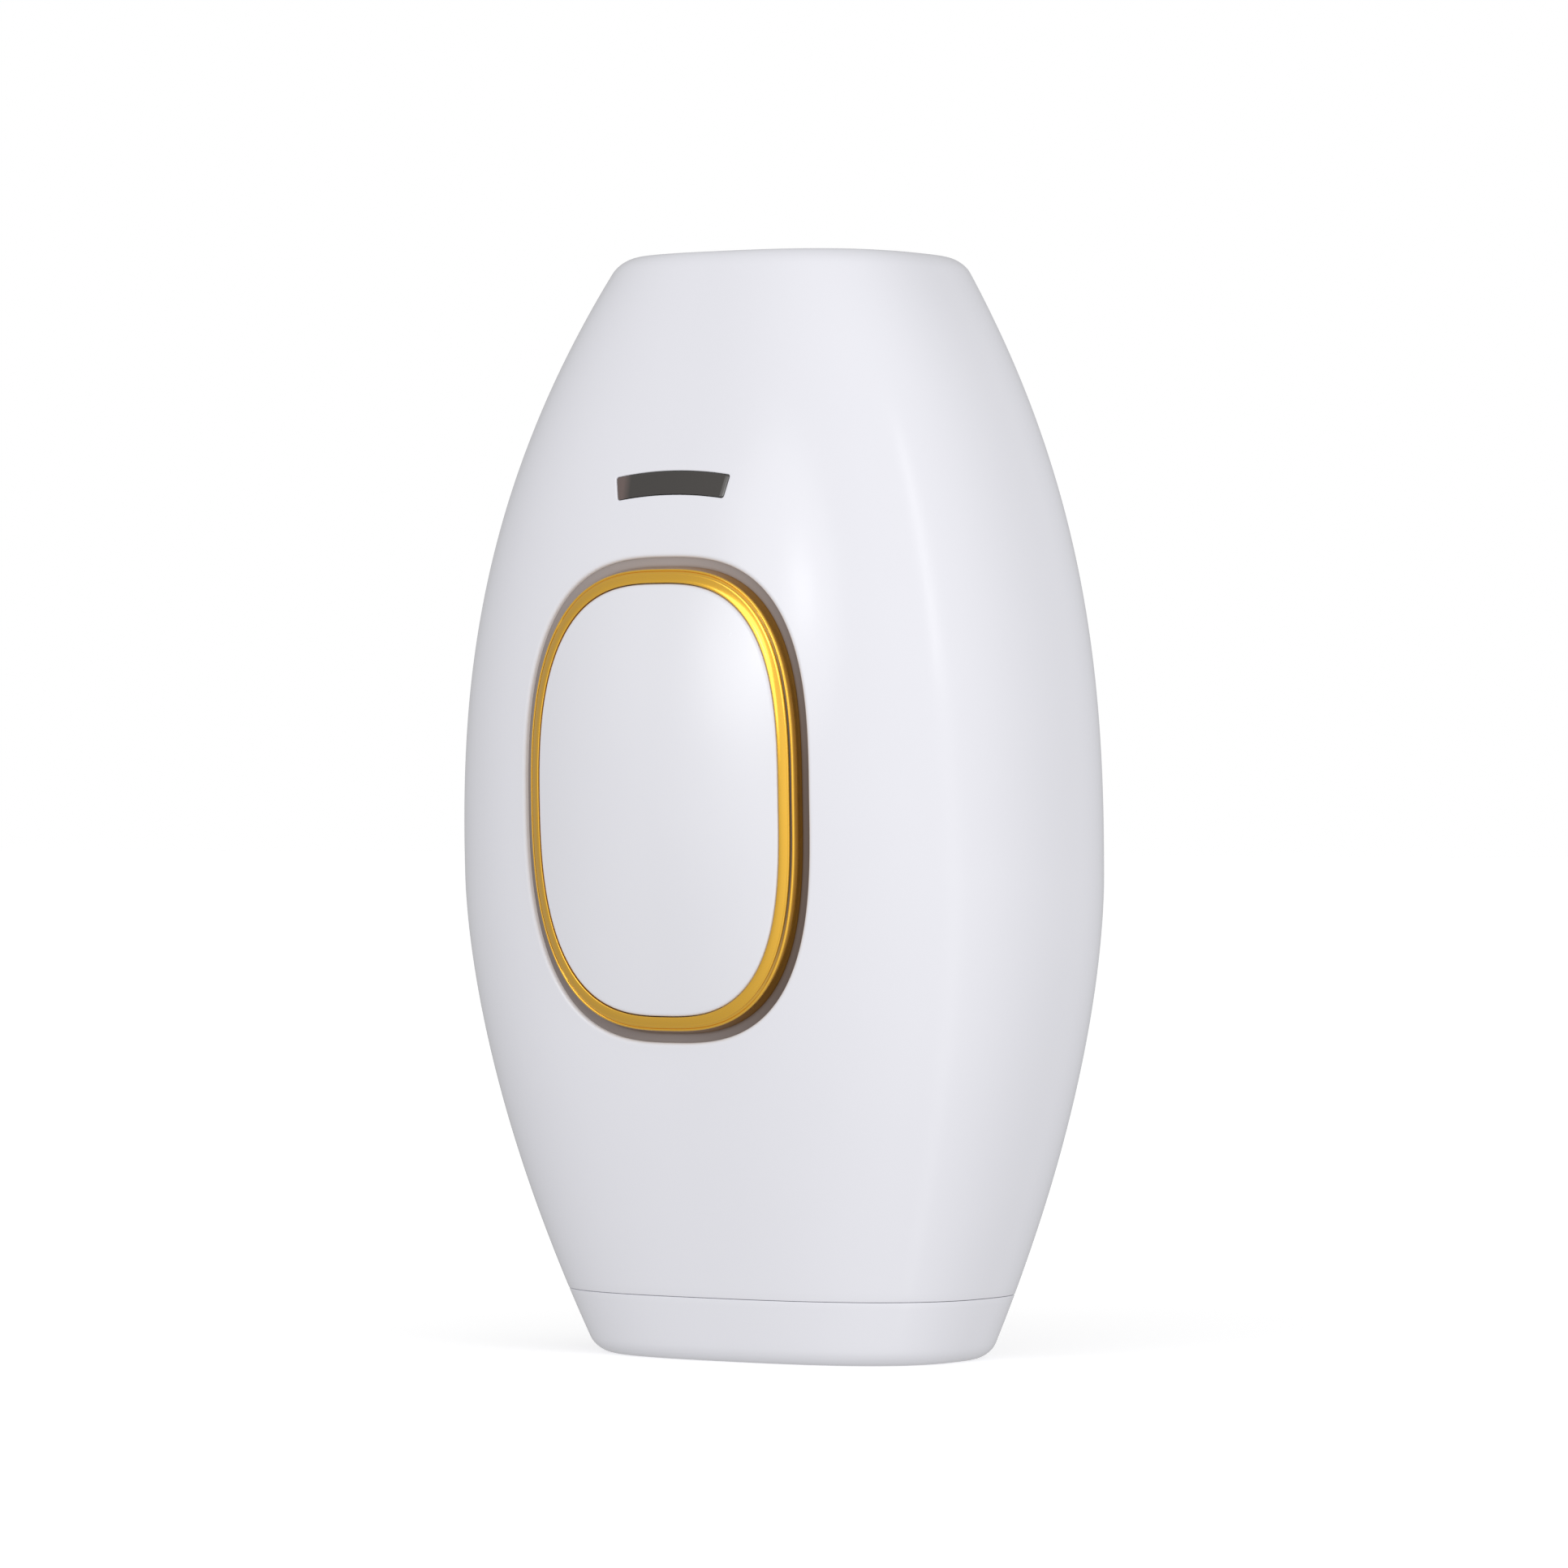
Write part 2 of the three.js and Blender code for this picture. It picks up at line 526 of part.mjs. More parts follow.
/** A trough with a round floor, open at the top. */
function reflector() {
  const shape = new THREE.Shape();
  const [outer, inner, lift] = [3.8, 3.3, 6.4];
  shape.moveTo(AXIS_Y + outer, LAMP.tubeZ + lift);
  shape.lineTo(AXIS_Y + inner, LAMP.tubeZ + lift);
  shape.absarc(AXIS_Y, LAMP.tubeZ, inner, 0, Math.PI, true);
  shape.lineTo(AXIS_Y - inner, LAMP.tubeZ + lift);
  shape.lineTo(AXIS_Y - outer, LAMP.tubeZ + lift);
  shape.absarc(AXIS_Y, LAMP.tubeZ, outer, Math.PI, 0, false);
  add('reflector', prismX(shape, -13, 13), ALUMINIUM);
}

function flashTube() {
  const at = (x) => [x, AXIS_Y, LAMP.tubeZ];
  add('flash_tube', bar(at(-14.8), at(14.8), 2.4, 18), GLASS);
  for (const [name, side] of MIRRORED) {
    add(`electrode_${name}`, bar(at(side * 15.1), at(side * 17.6), 2, 14), STEEL);
  }
}

function lampOptics() {
  add('optical_filter', block([-13.1, 13.1], [AXIS_Y - 3.8, AXIS_Y + 3.8], [130.6, 131.6]), AMBER);
  add('window_glass', prismZ(lampRectangle(14, 4.6, 0.6), GLASS_TOP - 2.2, GLASS_TOP), GLASS);
}

function lampHeatsink() {
  const [base, top] = [113.7, 116.7];
  let sink = block([-14, 14], [AXIS_Y - 6.8, AXIS_Y + 6.8], [base, top]);
  for (let fin = -3; fin <= 3; fin += 1) {
    const x = fin * 4.2;
    sink = sink.add(block([x - 0.6, x + 0.6], [AXIS_Y - 6.8, AXIS_Y + 6.8], [105, base + 1]));
  }
  add('lamp_heatsink', sink, ALUMINIUM);
}

const FLANGE_UNDER = HEIGHT - WALL - GAP - FRAME.flange;

function sensorFrame() {
  const top = HEIGHT + FRAME_PROUD;
  const collar = prismZ(lampRectangle(FRAME.halfX, FRAME.halfY, FRAME.corner), FLANGE_UNDER, top);
  const flange = prismZ(
    lampRectangle(FRAME.flangeX, FRAME.flangeY, 4), FLANGE_UNDER, FLANGE_UNDER + FRAME.flange);
  const aperture = prismZ(lampRectangle(LAMP.windowX, LAMP.windowY, 1), FLANGE_UNDER - 1, top + 1);
  add('sensor_frame', collar.add(flange).subtract(aperture), STEEL);
}

class Helix extends THREE.Curve {
  constructor(x, y, low, high, radius, turns) {
    super();
    Object.assign(this, { x, y, low, high, radius, turns });
  }

  getPoint(t, target = new THREE.Vector3()) {
    const angle = t * this.turns * 2 * Math.PI;
    return target.set(
      this.x + this.radius * Math.cos(angle),
      this.y + this.radius * Math.sin(angle),
      this.low + t * (this.high - this.low));
  }
}

function frameSprings() {
  const wireRadius = 0.25;
  const low = 128 + GAP + wireRadius;
  const high = FLANGE_UNDER - GAP - wireRadius;
  for (const [name, side] of MIRRORED) {
    const path = new Helix(side * 17.1, AXIS_Y, low, high, 0.75, 4);
    add(`frame_spring_${name}`, tube(path, wireRadius, 32, 5), STEEL);
  }
}

function contactSwitch() {
  const y = [AXIS_Y - 9, AXIS_Y - 6.7];
  const body = block([-4, 4], y, [127.5, 133]);
  const pinTop = FLANGE_UNDER - FRAME_TRAVEL - 0.2;
  const pin = block([-1, 1], [AXIS_Y - 8.5, AXIS_Y - 7.2], [132, pinTop]);
  add('contact_switch', body.add(pin), DARK);
}

function lampScrews() {
  for (const [name, side] of MIRRORED) {
    const x = side * LAMP_SCREW.x;
    const y = AXIS_Y + LAMP_SCREW.y;
    const head = bar([x, y, 115.2], [x, y, 116.7], 2.3, 12);
    const shank = bar([x, y, 116], [x, y, 126], 1.1, 10);
    add(`lamp_screw_${name}`, head.add(shank), STEEL);
  }
}

// ---- cooling fan

function fanHousing() {
  const front = FAN.back - FAN.depth;
  const outline = roundedRectangle(FAN.side / 2, FAN.side / 2, 3, 0, FAN.z);
  let housing = prismY(outline, front, FAN.back);
  housing = housing.subtract(bar([0, front - 1, FAN.z], [0, FAN.back + 1, FAN.z], FAN.bore, 28));
  const spokes = [0, Math.PI / 2].map((turn) => block([-19.4, 19.4], [front, front + 1.6], [-1, 1])
    .rotate([0, turn * 180 / Math.PI, 0]).translate([0, 0, FAN.z]));
  const base = bar([0, front, FAN.z], [0, front + 1.6, FAN.z], FAN.hub, 20);
  housing = housing.add(spokes[0]).add(spokes[1]).add(base);
  for (const side of [-1, 1]) {
    for (const rise of [-1, 1]) {
      const [x, z] = [side * FAN.screw, FAN.z + rise * FAN.screw];
      housing = housing.subtract(bar([x, front - 1, z], [x, FAN.back + 1, z], 1.7, 10));
    }
  }
  add('fan_housing', housing, DARK);
}

function fanRotor() {
  const front = FAN.back - FAN.depth + 2.1;
  const back = FAN.back - 0.8;
  let rotor = bar([0, front, FAN.z], [0, back, FAN.z], FAN.hub, 28);
  const blades = 7;
  for (let i = 0; i < blades; i += 1) {
    const blade = block([6, 17.6], [-3.4, 3.4], [-0.5, 0.5])
      .rotate([38, 0, 0])
      .rotate([0, (i * 360) / blades, 0])
      .translate([0, (front + back) / 2, FAN.z]);
    rotor = rotor.add(blade);
  }
  add('fan_rotor', rotor, DARK);
}

function fanScrews() {
  const front = FAN.back - FAN.depth;
  for (const [name, side] of MIRRORED) {
    const [x, z] = [side * FAN.screw, FAN.z + side * FAN.screw];
    const head = bar([x, front - 1.8, z], [x, front - GAP, z], 2.6, 12);
    const shank = bar([x, front - 1, z], [x, FAN.back + 1.3, z], 1.1, 10);
    add(`fan_screw_${name}`, head.add(shank), STEEL);
  }
}

// ---- DC inlet and inner leads

function dcInlet() {
  let inlet = block([-4.5, 4.5], [AXIS_Y - 4.5, AXIS_Y + 4.5], [WALL + GAP, 13]);
  inlet = inlet.add(bar([0, AXIS_Y, 0.8], [0, AXIS_Y, 4], 3.8, 24));
  inlet = inlet.subtract(bar([0, AXIS_Y, 0], [0, AXIS_Y, 10], 2.8, 20));
  add('dc_inlet', inlet, DARK);
  add('dc_pin', bar([0, AXIS_Y, 1.6], [0, AXIS_Y, 10 - GAP], 0.95, 12), STEEL);
}

function leads() {
  const boardBack = POWER_FRONT + BOARD + GAP + 0.6;
  for (const [name, side] of MIRRORED) {
    add(`lamp_lead_${name}`, wire([
      [side * 18.6, AXIS_Y, LAMP.tubeZ],
      [side * 20.6, AXIS_Y, LAMP.tubeZ - 2],
      [side * 20.9, AXIS_Y, LAMP.tubeZ - 8],
      [side * 20.6, AXIS_Y - 1, 106],
      [side * 18, boardBack + 1.5, 98],
      [side * 15, boardBack, 93],
    ], 0.6, 22), LEAD);
    add(`dc_lead_${name}`, wire([
      [side * 2, AXIS_Y - 1, 13.9],
      [side * 2, AXIS_Y - 2, 16.2],
      [side * 3, boardBack + 2, 18],
      [side * 5, boardBack, 22],
    ], 0.6, 12), LEAD);
  }
  add('fan_lead', wire([
    [-6, FAN.back - FAN.depth - 1, 63.6],
    [-6.5, 7, 61],
    [-7, 2, 58],
    [-8, boardBack + 0.2, 54],
  ], 0.7, 14), DARK);
}

frontShell();
backCover();
bottomCap();
coverScrews();
controlFace();
boards();
boardParts();
levelKey();
lampHolder();
reflector();
flashTube();
lampOptics();
lampHeatsink();
sensorFrame();
frameSprings();
contactSwitch();
lampScrews();
fanHousing();
fanRotor();
fanScrews();
dcInlet();
leads();

export default group;
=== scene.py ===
"""Looks of a hand-held light-pulse hair remover: a glossy white pebble with a gold-ringed thumb button."""

import json
import math

import bpy
import numpy as np
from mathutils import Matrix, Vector


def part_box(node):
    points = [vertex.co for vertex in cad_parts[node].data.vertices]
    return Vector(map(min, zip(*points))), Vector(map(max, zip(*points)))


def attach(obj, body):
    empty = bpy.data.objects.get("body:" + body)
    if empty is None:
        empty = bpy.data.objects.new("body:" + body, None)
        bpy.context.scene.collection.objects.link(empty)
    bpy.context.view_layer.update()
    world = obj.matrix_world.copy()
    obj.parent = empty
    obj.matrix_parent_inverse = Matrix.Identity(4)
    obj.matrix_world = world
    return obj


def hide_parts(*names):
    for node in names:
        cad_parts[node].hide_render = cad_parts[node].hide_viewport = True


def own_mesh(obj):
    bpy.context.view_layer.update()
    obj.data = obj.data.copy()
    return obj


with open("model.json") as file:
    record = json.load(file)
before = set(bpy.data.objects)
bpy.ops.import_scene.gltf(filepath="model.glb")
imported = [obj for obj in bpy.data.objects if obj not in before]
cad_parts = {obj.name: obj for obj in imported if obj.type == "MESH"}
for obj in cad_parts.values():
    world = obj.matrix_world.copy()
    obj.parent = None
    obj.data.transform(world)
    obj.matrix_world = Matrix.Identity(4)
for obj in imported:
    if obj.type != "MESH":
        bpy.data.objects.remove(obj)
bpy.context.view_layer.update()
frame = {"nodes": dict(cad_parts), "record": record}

MM = 0.001
TAU = 2 * math.pi

# ------------------------------------------------------------------ sizes, in millimetres

HEIGHT = 140.0
WALL = 2.0
END_ROUND = 2.0
SECTION_POWER = 2.7
HALF_WIDTH = dict(middle=43.0, top=20.7, bottom=26.1, station=-0.131, up=2.49, down=1.68)
FRONT_DEPTH = dict(middle=30.4, top=18.5, bottom=16.3, station=0.108, up=2.0, down=2.0)
BACK_DEPTH = dict(middle=20.5, top=18.6, bottom=16.7, station=-0.25, up=2.0, down=2.0)

CAP_HEIGHT = 8.24
PARTING_DEPTH = 12.45
COVER_TOP = 126.0
SEAM = 0.05          # open width of a seam between two mouldings
SEAM_EDGE = 0.12     # round edge of a moulding at a seam

RING_X, RING_Z, RING_CENTRE, RING_POWER = 21.5, 30.35, 70.85, 2.8
LIP = 0.45           # round edge of the casing at the button's groove
FLANK = 1.22         # groove's outer edge to the ring's foot
BEAD = 1.70          # groove's outer edge to the ring's bead
RING_INNER = 3.3     # groove's outer edge to the ring's inner edge
BUTTON_GAP = 0.1
PROUD = 1.0          # button's edge and ring above the casing's skin
CROWN = 1.2          # middle of the button above its edge

DISPLAY_Z = 110.5             # middle of the display
DISPLAY_SIZE = (8.35, 1.52)   # half length and half width
DISPLAY_CORNER = 0.35
DISPLAY_BEND = 54.0           # radius of its bend
DISPLAY_FLARE = 39.9          # distance down to where the lines of its ends meet
DISPLAY_HOLE = (0, 110.3)     # middle of the grid's block that holds its opening
DISPLAY_REACH = (12.0, 4.3)   # half size of that block

LAMP_FRAME = (14.5, 6.5, 3.2)     # half sizes and corner radius
LAMP_FLANGE = (18.2, 8.7, 4.0)
LAMP_WINDOW = (12.5, 4.3, 1.0)
FRAME_PROUD = 0.3
FRAME_GAP = 0.25                  # between the frame's collar and the casing
GLASS_SIZE = (14.0, 4.6, 0.8)
GLASS_TOP, GLASS_THICK = 135.6, 2.2

FAN_Z = 82.5
VENT_PITCH, VENT_RADIUS, VENT_HALF = 4.8, 17.5, 1.1   # intake slots, cut off by a circle
EXHAUST_Z, EXHAUST_PITCH, EXHAUST_COUNT = 110.5, 4.2, 3
EXHAUST_LENGTH, EXHAUST_STEP = 11, 1.2                # lowest slot's half length, loss per slot
LEVEL_KEY = (6.0, 3.0, 2.9)
LEVEL_KEY_Z = 57.0
SCREW_X, SCREW_ROWS, SCREW_RECESS = 25.0, (34.0, 108.0), 2.7
HEAD_RADIUS, HEAD_HEIGHT, SHANK_RADIUS = 2.3, 1.5, 1.2
CROSS_ARM, CROSS_REACH, CROSS_DEPTH = 0.42, 1.55, 0.85
SOCKET_HOLE = (4.2, 4.2, 4.19)
COIL_RADIUS, COIL_WIRE, COIL_TURNS = 0.75, 0.25, 4

AXIS_Y = (FRONT_DEPTH["middle"] + PROUD + CROWN - BACK_DEPTH["middle"]) / 2


# ------------------------------------------------------------------ the casing's form

def swell(profile, z):
    """Half size of the casing at height z: its largest value less a power of the distance from
    the station of that value, reaching the end value at the end, worked out above and below."""
    offset = 2 * z / HEIGHT - 1 - profile["station"]
    upper = offset >= 0
    end = np.where(upper, profile["top"], profile["bottom"])
    reach = np.where(upper, 1 - profile["station"], 1 + profile["station"])
    power = np.where(upper, profile["up"], profile["down"])
    return profile["middle"] - (profile["middle"] - end) * np.abs(offset / reach) ** power


def bent(value, power=SECTION_POWER):
    """A sine or cosine raised to two over the superellipse's power, with its sign kept."""
    return np.sign(value) * np.abs(value) ** (2 / power)


def section(theta, z, pull):
    """Level section at height z: a superellipse, its front and back halves of different depth,
    pulled in all round by the given distance."""
    depth = np.where(np.sin(theta) < 0, swell(FRONT_DEPTH, z), swell(BACK_DEPTH, z)) - pull
    return (swell(HALF_WIDTH, z) - pull) * bent(np.cos(theta)), AXIS_Y + depth * bent(np.sin(theta))


def casing(theta, rail, depth, at_top, opening=None):
    """Point of the casing, at a depth below its skin. rail is the distance from the end face down
    to the fillet radius; its next unit runs round the fillet, its last one across the end face,
    straight from the fillet to the opening in that face."""
    theta, rail = np.broadcast_arrays(theta, rail)
    turn = np.clip(END_ROUND - rail, 0, 1) * math.pi / 2
    share = np.clip(END_ROUND - 1 - rail, 0, 1)
    bend = END_ROUND - depth
    from_end = np.where(rail >= END_ROUND, rail, END_ROUND - bend * np.sin(turn))
    z = HEIGHT - from_end if at_top else from_end
    x, y = section(theta, z, END_ROUND - bend * np.cos(turn))
    if opening is not None:
        flat_x, flat_y = section(theta, np.full_like(z, HEIGHT if at_top else 0.0), END_ROUND)
        edge_x, edge_y = opening(flat_x, flat_y - AXIS_Y)
        x = x + share * (edge_x - x)
        y = y + share * (edge_y + AXIS_Y - y)
    return np.stack([x, y, z], axis=-1)


def front_y(x, z):
    """Depth of the casing's front skin at a place."""
    share = (1 - np.abs(x / swell(HALF_WIDTH, z)) ** SECTION_POWER) ** (1 / SECTION_POWER)
    return AXIS_Y - swell(FRONT_DEPTH, z) * share


def back_y(x, z):
    """Depth of the casing's back skin at a place."""
    share = (1 - np.abs(x / swell(HALF_WIDTH, z)) ** SECTION_POWER) ** (1 / SECTION_POWER)
    return AXIS_Y + swell(BACK_DEPTH, z) * share


def side_angle(x, z, front):
    """Superellipse angle of the skin's point at x, on the front or the back."""
    cosine = np.clip(np.sign(x) * np.abs(x / swell(HALF_WIDTH, z)) ** (SECTION_POWER / 2), -1, 1)
    return -np.arccos(cosine) if front else np.arccos(cosine)


def parting_angle(z, offset):
    """Superellipse angle at which the skin meets the parting plane, moved back by an offset."""
    return np.arcsin(((PARTING_DEPTH + offset) / swell(BACK_DEPTH, z)) ** (SECTION_POWER / 2))


# ------------------------------------------------------------------ outlines

def turns(sides):
    """Evenly spaced angles of one full turn."""
    return np.arange(sides) * TAU / sides


def rounded(half_x, half_y, corner):
    """Outline that maps any outer point to the nearest point of a rectangle with round corners,
    grown by a distance: the point is held to the inner rectangle, then moved out by the radius."""
    def outline(x, y, grow=0.0):
        """Nearest point of the grown outline."""
        hold_x = np.clip(x, -(half_x - corner), half_x - corner)
        hold_y = np.clip(y, -(half_y - corner), half_y - corner)
        away = np.maximum(np.hypot(x - hold_x, y - hold_y), 1e-9)
        return (hold_x + (x - hold_x) / away * (corner + grow),
                hold_y + (y - hold_y) / away * (corner + grow))
    return outline


def moved(outline, centre_x, centre_y):
    """The same outline about another centre."""
    def shifted(x, y, grow=0.0):
        """The outline's point, met from its own centre."""
        edge_x, edge_y = outline(x - centre_x, y - centre_y, grow)
        return edge_x + centre_x, edge_y + centre_y
    return shifted


def ring_outline(x, z, grow=0.0):
    """Superellipse round the button, met along the ray from its centre and grown by a distance."""
    across, up = x / RING_X, (z - RING_CENTRE) / RING_Z
    size = (np.abs(across) ** RING_POWER + np.abs(up) ** RING_POWER) ** (1 / RING_POWER)
    return (RING_X + grow) * across / size, RING_CENTRE + (RING_Z + grow) * up / size


def display_outline(x, z, grow=0.0):
    """Bent bar with round corners: a rounded rectangle whose middle line is lowered by the square
    of the distance along it, and whose length grows with the height so that its ends flare."""
    flat = rounded(*DISPLAY_SIZE, DISPLAY_CORNER)
    off = z - DISPLAY_Z + x ** 2 / (2 * DISPLAY_BEND)
    along, off = flat(x / (1 + off / DISPLAY_FLARE), off, grow)
    x = along * (1 + off / DISPLAY_FLARE)
    return x, DISPLAY_Z + off - x ** 2 / (2 * DISPLAY_BEND)


# ------------------------------------------------------------------ meshes

def piece(name, points, faces, material, body, slot, nodes=(), sharp=35.0):
    """A finished piece: points in millimetres, faces as arrays of corners, smooth shading with
    sharp edges past an angle. Its faces are turned outwards if its volume comes out negative."""
    points = np.asarray(points, float).reshape(-1, 3)
    triangles = np.concatenate([
        np.concatenate([f[:, [0, k, k + 1]] for k in range(1, f.shape[1] - 1)]) for f in faces])
    a, b, c = (points[triangles[:, k]] for k in range(3))
    if np.einsum("ij,ij->i", a, np.cross(b, c)).sum() < 0:
        faces = [f[:, ::-1] for f in faces]
    mesh = bpy.data.meshes.new(name)
    mesh.from_pydata((points * MM).tolist(), [], [row for f in faces for row in f.tolist()])
    mesh.polygons.foreach_set("use_smooth", np.ones(len(mesh.polygons), bool))
    mesh.set_sharp_from_angle(angle=math.radians(sharp))
    mesh.materials.append(material)
    made = bpy.data.objects.new(name, mesh)
    bpy.context.scene.collection.objects.link(made)
    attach(made, body)
    if nodes:
        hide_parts(*nodes)
    return made


def mark(made, name, values):
    """Gives each point of a piece a number that its material reads."""
    made.data.attributes.new(name, "FLOAT", "POINT").data.foreach_set("value", values.ravel())


def lattice(rows, columns, wrap_columns, wrap_rows=False):
    """Corner numbers of the four-sided faces of a grid whose points are numbered row by row."""
    r = np.arange(rows if wrap_rows else rows - 1)
    c = np.arange(columns if wrap_columns else columns - 1)
    row, column = (m.ravel() for m in np.meshgrid(r, c, indexing="ij"))
    next_row, next_column = (row + 1) % rows, (column + 1) % columns
    return np.stack([row * columns + column, row * columns + next_column,
                     next_row * columns + next_column, next_row * columns + column], axis=1)


def ring_body(points):
    """A closed ring: a grid of points that closes on itself both ways."""
    rows, columns = points.shape[:2]
    return points.reshape(-1, 3), [lattice(rows, columns, True, True)]


def poled_body(points):
    """A closed body: rings of points from one pole to the other. The first and the last ring
    have shrunk to a point each, and are kept as one point."""
    rows, columns = points.shape[:2]
    inner = points[1:-1].reshape(-1, 3)
    poles = np.stack([points[0].mean(axis=0), points[-1].mean(axis=0)])
    count = len(inner)
    here = np.arange(columns)
    after = (here + 1) % columns
    last = count - columns
    first_fan = np.stack([np.full(columns, count), after, here], axis=1)
    last_fan = np.stack([np.full(columns, count + 1), last + here, last + after], axis=1)
    return np.concatenate([inner, poles]), [lattice(rows - 2, columns, True), first_fan, last_fan]


def lathe(profile, centre, axis, sides=48):
    """A turned piece: the profile's (radius, distance) points spun about an axis through a
    centre. The profile starts and ends on the axis."""
    radius, along = np.array(profile, float).T
    turn = turns(sides)
    axis = np.array(axis, float)
    side = np.cross(axis, [0.0, 0.0, 1.0] if abs(axis[2]) < 0.9 else [1.0, 0.0, 0.0])
    side /= np.linalg.norm(side)
    other = np.cross(axis, side)
    spoke = np.cos(turn)[:, None] * side + np.sin(turn)[:, None] * other
    points = np.array(centre) + radius[:, None, None] * spoke + along[:, None, None] * axis
    return poled_body(points)


def arc(centre, radius, start, end, steps=5):
    """Points of a round corner, as (across, up) pairs. Angles in degrees."""
    turn = np.radians(np.linspace(start, end, steps))
    return [(centre[0] + radius * math.cos(t), centre[1] + radius * math.sin(t)) for t in turn]


MITRE_LIMIT = 0.6   # least cosine that a mitred corner is lengthened by


def wall_body(outer, inner, faces, edge_radius, steps=4):
    """Closes a sheet and its inner copy into a wall. At every free edge the outer skin turns a
    quarter circle outwards and down, then runs straight to the inner skin. An edge point's way
    out is its edge's direction crossed with the skin's normal, mitred between its two edges."""
    used, faces = np.unique(faces, return_inverse=True)
    faces = faces.reshape(-1, 4)
    outer, inner, edge_radius = outer[used], inner[used], edge_radius[used]
    count = len(outer)
    normal = np.zeros_like(outer)
    spread = np.cross(outer[faces[:, 2]] - outer[faces[:, 0]], outer[faces[:, 3]] - outer[faces[:, 1]])
    for corner in range(4):
        np.add.at(normal, faces[:, corner], spread)
    normal /= np.linalg.norm(normal, axis=1, keepdims=True)
    edges = np.concatenate([faces[:, [k, (k + 1) % 4]] for k in range(4)]).astype(np.int64)
    free = edges[~np.isin(edges[:, 0] * count + edges[:, 1], edges[:, 1] * count + edges[:, 0])]
    after = np.zeros(count, np.int64)
    before = np.zeros(count, np.int64)
    after[free[:, 0]] = free[:, 1]
    before[free[:, 1]] = free[:, 0]
    rim = free[:, 0]
    place = np.zeros(count, np.int64)
    place[rim] = np.arange(len(rim))

    def way_out(start, end):
        """Unit vector away from the sheet, square to an edge and to the skin's normal."""
        step = outer[end] - outer[start]
        out = np.cross(step, normal[rim])
        return out / np.linalg.norm(out, axis=1, keepdims=True)

    out_before, out_after = way_out(before[rim], rim), way_out(rim, after[rim])
    out = out_before + out_after
    out /= np.linalg.norm(out, axis=1, keepdims=True)
    out /= np.maximum(np.einsum("ij,ij->i", out, out_before), MITRE_LIMIT)[:, None]
    radius = edge_radius[rim][:, None]
    rows = [outer[rim] + out * radius * math.sin(t) - normal[rim] * radius * (1 - math.cos(t))
            for t in np.linspace(0, math.pi / 2, steps + 1)[1:]]
    rows.append(inner[rim] + out * radius)
    points = np.concatenate([outer, inner, *rows])
    ring = [place * 0 + np.arange(count)]
    ring += [2 * count + k * len(rim) + place for k in range(len(rows))]
    ring.append(count + np.arange(count))
    strips = [np.stack([a[free[:, 1]], a[free[:, 0]], b[free[:, 0]], b[free[:, 1]]], axis=1)
              for a, b in zip(ring[:-1], ring[1:])]
    return points, [faces, faces[:, ::-1] + count, *strips]


# ------------------------------------------------------------------ sheets of the casing

def steps_between(breaks, pitch):
    """Values that pass through every break, evenly spaced between breaks, no wider than a pitch."""
    parts = [np.linspace(a, b, max(int(math.ceil(abs(b - a) / pitch)), 1) + 1)[:-1]
             for a, b in zip(breaks[:-1], breaks[1:])]
    return np.concatenate([*parts, [breaks[-1]]])


def even_shares(count, low, high, z=70.0):
    """Shares from 0 to 1 at which superellipse angles between low and high are evenly spaced
    along the section at height z."""
    theta = np.linspace(low, high, 4001)
    x, y = section(theta, np.full_like(theta, z), 0.0)
    run = np.concatenate([[0], np.cumsum(np.hypot(np.diff(x), np.diff(y)))])
    even = np.interp(np.linspace(0, run[-1], count), run, theta)
    return (even - low) / (high - low)


NEAR_STEP = 0.15   # width of the first ring of faces round a hole


